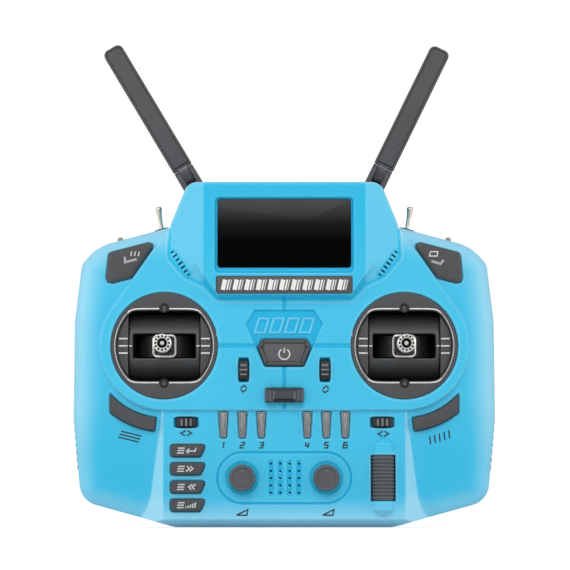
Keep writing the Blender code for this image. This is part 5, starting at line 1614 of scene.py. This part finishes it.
SHOULDER_SLOPE = math.radians(15.0)
TOGGLE_NUT = ((2.4, -0.4), (3.4, 0.2), (3.4, 0.8), (3.2, 1.0), (2.6, 1.0), (2.3, 0.8), (1.7, -0.4), (0, -0.6))
LEVER_FOOT = ((0.9, -0.5), (1.0, 0.6), (0.85, 2.0))
LEVER_BARREL = ((0.95, -4.2), (1.2, -2.2), (1.35, -1.1), (1.25, -0.5), (0.85, -0.12), (0, 0))
# Each row's distance from the middle, depth, lean to the rear, tilt outwards and lever length.
TOGGLE_ROWS = {
    "inner": (53.3, -4.2, 0.0, 8.4, 11.0),
    "outer": (70.7, REAR_EDGE / 2 - REAR_DEPTH, 45.0, 15.0, 11.4),
}
ANTENNA_TILT = {"left": 30.8, "right": -26.0}
ANTENNA_PIVOT = (37.3, 144.0)
BLADE_START = 14.0
BLADE_LEVELS = ((-0.6, -2.0), (0, -1.5), (0, 1.5), (-0.15, 1.85), (-0.4, 2.0),
                (-0.9, 2.0), (-1.05, 1.6), (-1.2, 1.6), (-1.35, 1.9))
TONGUE_MIDDLE = 9.7
TONGUE_HALF = (3.85, 1.9)
TONGUE_LONGER = 3.0
TONGUE_SLICES = ((-2.28, 0.9), (-2.1, 1.0), (2.1, 1.0), (2.28, 0.9))


def aim(direction):
    """Turn that carries z to a direction."""
    z = Vector(direction).normalized()
    x = Vector((0, 0, 1)).cross(z).normalized()
    return np.array([x, z.cross(x), z]).T


def leaning(sign, tilt, lean):
    """Direction tilted outwards in the face plane and leant to the rear."""
    return (sign * math.sin(tilt) * math.cos(lean), math.cos(tilt) * math.cos(lean), -math.sin(lean))


def shoulder_height(x):
    """Height of the case's sloping shoulder at a distance from the middle."""
    (x0, y0), (x1, y1) = CASE_LEFT[-2][:2], CASE_LEFT[-1][:2]
    return y0 + (y1 - y0) * (-abs(x) - x0) / (x1 - x0)


def toggles():
    """Four switches on the shoulders: a ringed base and a slim lever with a barrel end."""
    for side, sign in SIDES:
        for row, (x, depth, lean, tilt, length) in TOGGLE_ROWS.items():
            drop = REAR_EDGE / 2 / math.cos(SHOULDER_SLOPE) if row == "outer" else 0
            foot = np.array((sign * x, shoulder_height(x) - drop, depth))
            lean, name = math.radians(lean), f"{side}_{row}"
            nut = lathe(TOGGLE_NUT, 48, foot, aim(leaning(sign, SHOULDER_SLOPE, lean)))
            nut.finish(f"{name}_nut", "black_plastic", "case", f"{name}_toggle_base", "black_plastic")
            profile = LEVER_FOOT + tuple((radius, length + rise) for radius, rise in LEVER_BARREL)
            lever = lathe(profile, 32, foot, aim(leaning(sign, math.radians(tilt), lean)))
            node, look = f"{name}_toggle_lever", "switch_nickel"
            lever.finish(f"{name}_lever", look, f"{name}_lever", node, look, 40)


def antenna_place(side, sign):
    """Centre of the antenna's pin, and its turn in the face plane."""
    tilt = math.radians(ANTENNA_TILT[side])
    x, y = ANTENNA_PIVOT
    pivot = np.array((sign * x, y, Spot(f"{side}_antenna_swivel").centre[2]))
    turn = np.array(((math.cos(tilt), -math.sin(tilt), 0), (math.sin(tilt), math.cos(tilt), 0), (0, 0, 1)))
    return pivot, turn


def antennas():
    """Flat paddles with a sunk line inside their rim, each on a knuckle and a round link."""
    for side, sign in SIDES:
        pivot, turn = antenna_place(side, sign)
        body, node = f"{side}_antenna", f"{side}_antenna_blade"
        half, end, _ = ((node_points(node) - pivot) @ turn).max(0)
        corners = [(-half, end, 2.6), (-half, BLADE_START, 0.6), (half, BLADE_START, 0.6), (half, end, 2.6)]
        rings = stack(fine_outline(rounded(corners), 2.5), BLADE_LEVELS)
        blade = Shape([place(ring, pivot, turn) for ring in rings])
        blade.finish(f"{side}_blade", "dark_plastic", body, node, "dark_plastic")
        tongue = []
        for dx, shrink in TONGUE_SLICES:
            ring = circle(ORIGIN, shrink, 28)[:, ::-1] * TONGUE_HALF
            ring[:, 0] += TONGUE_MIDDLE + TONGUE_LONGER * (ring[:, 0] >= 0)
            tongue.append(place(np.column_stack([np.full(len(ring), dx), ring]), pivot, turn))
        Shape(tongue).finish(f"{side}_tongue", "strap_plastic", body, node, "dark_plastic")


# ---------------------------------------------------------------- rear and inner pieces

PAD_HEIGHTS = (22.0, 46.0, 87.0, 110.0)
PAD_REACHES = (89.2, 91.3, 91.0, 88.3)
PAD_RIB = 0.35
PAD_PITCH = 3.2
LUG_RADIUS = 4.1
LUG_FOOT = 136.0
LUG_LEVELS = ((-0.4, -16.0), (0, -15.6), (0, -12.6), (-0.3, -12.3))
PIN = ((2.0, -12.6), (2.0, -1.2), (1.7, -0.8), (0, -0.8))


def grip_pads():
    """Rubber strips down the sides, with ribs across them."""
    for side, sign in SIDES:
        node = f"grip_pad_{side}"
        spot = Spot(node)
        heights = np.arange(spot.low[1], spot.high[1] + 0.01, 0.4)
        rings = []
        for y, x in zip(heights, np.interp(heights, PAD_HEIGHTS, PAD_REACHES)):
            shrink = 1 - min(1.0, (y - heights[0]) / 2.0, (heights[-1] - y) / 2.0)
            rib = PAD_RIB * (0.5 + 0.5 * math.cos(2 * math.pi * y / PAD_PITCH))
            out = x - 0.45 + rib - 0.8 * shrink
            low, high = spot.low[2] + 0.6 * shrink, spot.high[2] - 0.6 * shrink
            half = ((x - 2.0, 0.0), (out - 0.6, 0.0), (out, 1.0))
            section = [(px, low + pz) for px, pz in half] + [(px, high - pz) for px, pz in half[::-1]]
            rings.append(np.array([(sign * px, y, pz) for px, pz in section]))
        Shape(rings).finish(f"{node}_strip", "grip_rubber", "case", node, "grip_rubber", 40)


def antenna_lugs():
    """The rear shell's two ears, with the pins that the antennas turn on."""
    for side, sign in SIDES:
        (x, y, _), _ = antenna_place(side, sign)
        foot = np.array([(x - LUG_RADIUS, LUG_FOOT), (x + LUG_RADIUS, LUG_FOOT)])
        outline = hull(np.vstack([arc((x, y), LUG_RADIUS, 0, 2 * math.pi, 36), foot]))
        for name, shape in (("lug", Shape(stack(outline, LUG_LEVELS))), ("pin", lathe(PIN, 32, (x, y, 0)))):
            shape.finish(f"{side}_antenna_{name}", "case_blue", "case", "rear_shell", "case_blue")


DRESSED = {
    "main_board": "circuit_board",
    "battery_pack": "battery_wrap",
    "speaker": "black_plastic",
    "roller_cradle": "black_plastic",
    "battery_door": "case_blue",
    "module_bay_cover": "case_blue",
    "left_antenna_swivel": "dark_plastic",
    "right_antenna_swivel": "dark_plastic",
}


def dress_nodes():
    """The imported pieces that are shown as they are, with eased edges and their own finish."""
    for name, look in DRESSED.items():
        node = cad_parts[name]
        node.data.materials.clear()
        node.data.materials.append(LOOKS[look])
        bevel = node.modifiers.new("eased_edges", "BEVEL")
        bevel.width = 0.3 / MM
        bevel.segments = 2
        bevel.limit_method = "ANGLE"
        bevel.angle_limit = math.radians(30)


# ---------------------------------------------------------------- studio

FLOOR_REACH = 3.0
FLOOR_LEVEL = -0.0005
FLOOR_GLOW = 0.6
WORLD_STRENGTH = (0.48, 1.05)
LIGHTS = (
    ("key_light", (-0.1, -0.87, 0.7), 0.7, 5.4),
    ("left_light", (-0.9, -0.25, 0.3), 0.6, 2.2),
    ("right_light", (0.9, -0.25, 0.3), 0.6, 2.2),
)
LIT_POINT = (0, 0, 0.08)
AIM_POINT = (0.0003, -0.008, 0.1036)
CAMERA_DISTANCE = 1.05
CAMERA_ELEVATION = math.radians(5.0)
WIDTH_SEEN = 0.245
SENSOR_WIDTH = 36.0


def add_object(name, data):
    made = bpy.data.objects.new(name, data)
    bpy.context.scene.collection.objects.link(made)
    return made


def floor():
    """A pale floor that glows a little to the camera, so that it meets the white surroundings."""
    mesh = bpy.data.meshes.new("floor")
    corners = ring_at(np.array(SQUARE) * FLOOR_REACH, FLOOR_LEVEL)
    mesh.from_pydata(corners.tolist(), [], [(0, 1, 2, 3)])
    made = Finish("floor")
    colour = made.blend(made.noise(60.0, 3.0), (0.86, 0.86, 0.86), (0.9, 0.9, 0.9))
    seen = made.node("ShaderNodeLightPath").outputs["Is Camera Ray"]
    glow = {"Emission Color": (1, 1, 1), "Emission Strength": made.spread(seen, 0.0, FLOOR_GLOW)}
    made.fill(made.shader, {"Base Color": colour, "Roughness": 0.8, **glow})
    mesh.materials.append(made.material)
    add_object("floor", mesh)


def surroundings():
    """White all round, brighter to the camera than to the object."""
    world = bpy.data.worlds.new("studio")
    world.use_nodes = True
    tree = world.node_tree
    background = tree.nodes["Background"]
    seen = tree.nodes.new("ShaderNodeLightPath")
    strength = tree.nodes.new("ShaderNodeMapRange")
    strength.inputs["To Min"].default_value, strength.inputs["To Max"].default_value = WORLD_STRENGTH
    tree.links.new(seen.outputs["Is Camera Ray"], strength.inputs["Value"])
    tree.links.new(strength.outputs["Result"], background.inputs["Strength"])
    background.inputs["Color"].default_value = (1, 1, 1, 1)
    bpy.context.scene.world = world


def lights():
    """Soft lights above and in front, and at the sides."""
    for name, spot, size, power in LIGHTS:
        data = bpy.data.lights.new(name, "AREA")
        data.shape = "SQUARE"
        data.size = size
        data.energy = power
        lamp = add_object(name, data)
        lamp.location = spot
        lamp.rotation_euler = (Vector(LIT_POINT) - Vector(spot)).to_track_quat("-Z", "Y").to_euler()


def camera():
    """Almost level and far off, a little below the middle of the object."""
    data = bpy.data.cameras.new("camera")
    data.sensor_width = SENSOR_WIDTH
    data.lens = SENSOR_WIDTH * CAMERA_DISTANCE / WIDTH_SEEN
    eye = add_object("camera", data)
    back = Vector((0, -math.cos(CAMERA_ELEVATION), -math.sin(CAMERA_ELEVATION)))
    eye.location = Vector(AIM_POINT) + back * CAMERA_DISTANCE
    eye.rotation_mode = "QUATERNION"
    eye.rotation_quaternion = (-back).to_track_quat("-Z", "Y")
    bpy.context.scene.camera = eye


for build in (front_shell, rear_shell, face_labels, buttons, keys, power):
    build()
for build in (display, name_strip, emblem, strap_bar):
    build()
for side_name, _ in SIDES:
    for build in (gimbal_frame, bezel_screws, gimbal_drum, stick):
        build(side_name)
for build in (trims, knobs, roller, toggles, antennas, grip_pads, antenna_lugs, dress_nodes):
    build()
for build in (floor, surroundings, lights, camera):
    build()
bpy.context.scene.view_settings.view_transform = "Standard"
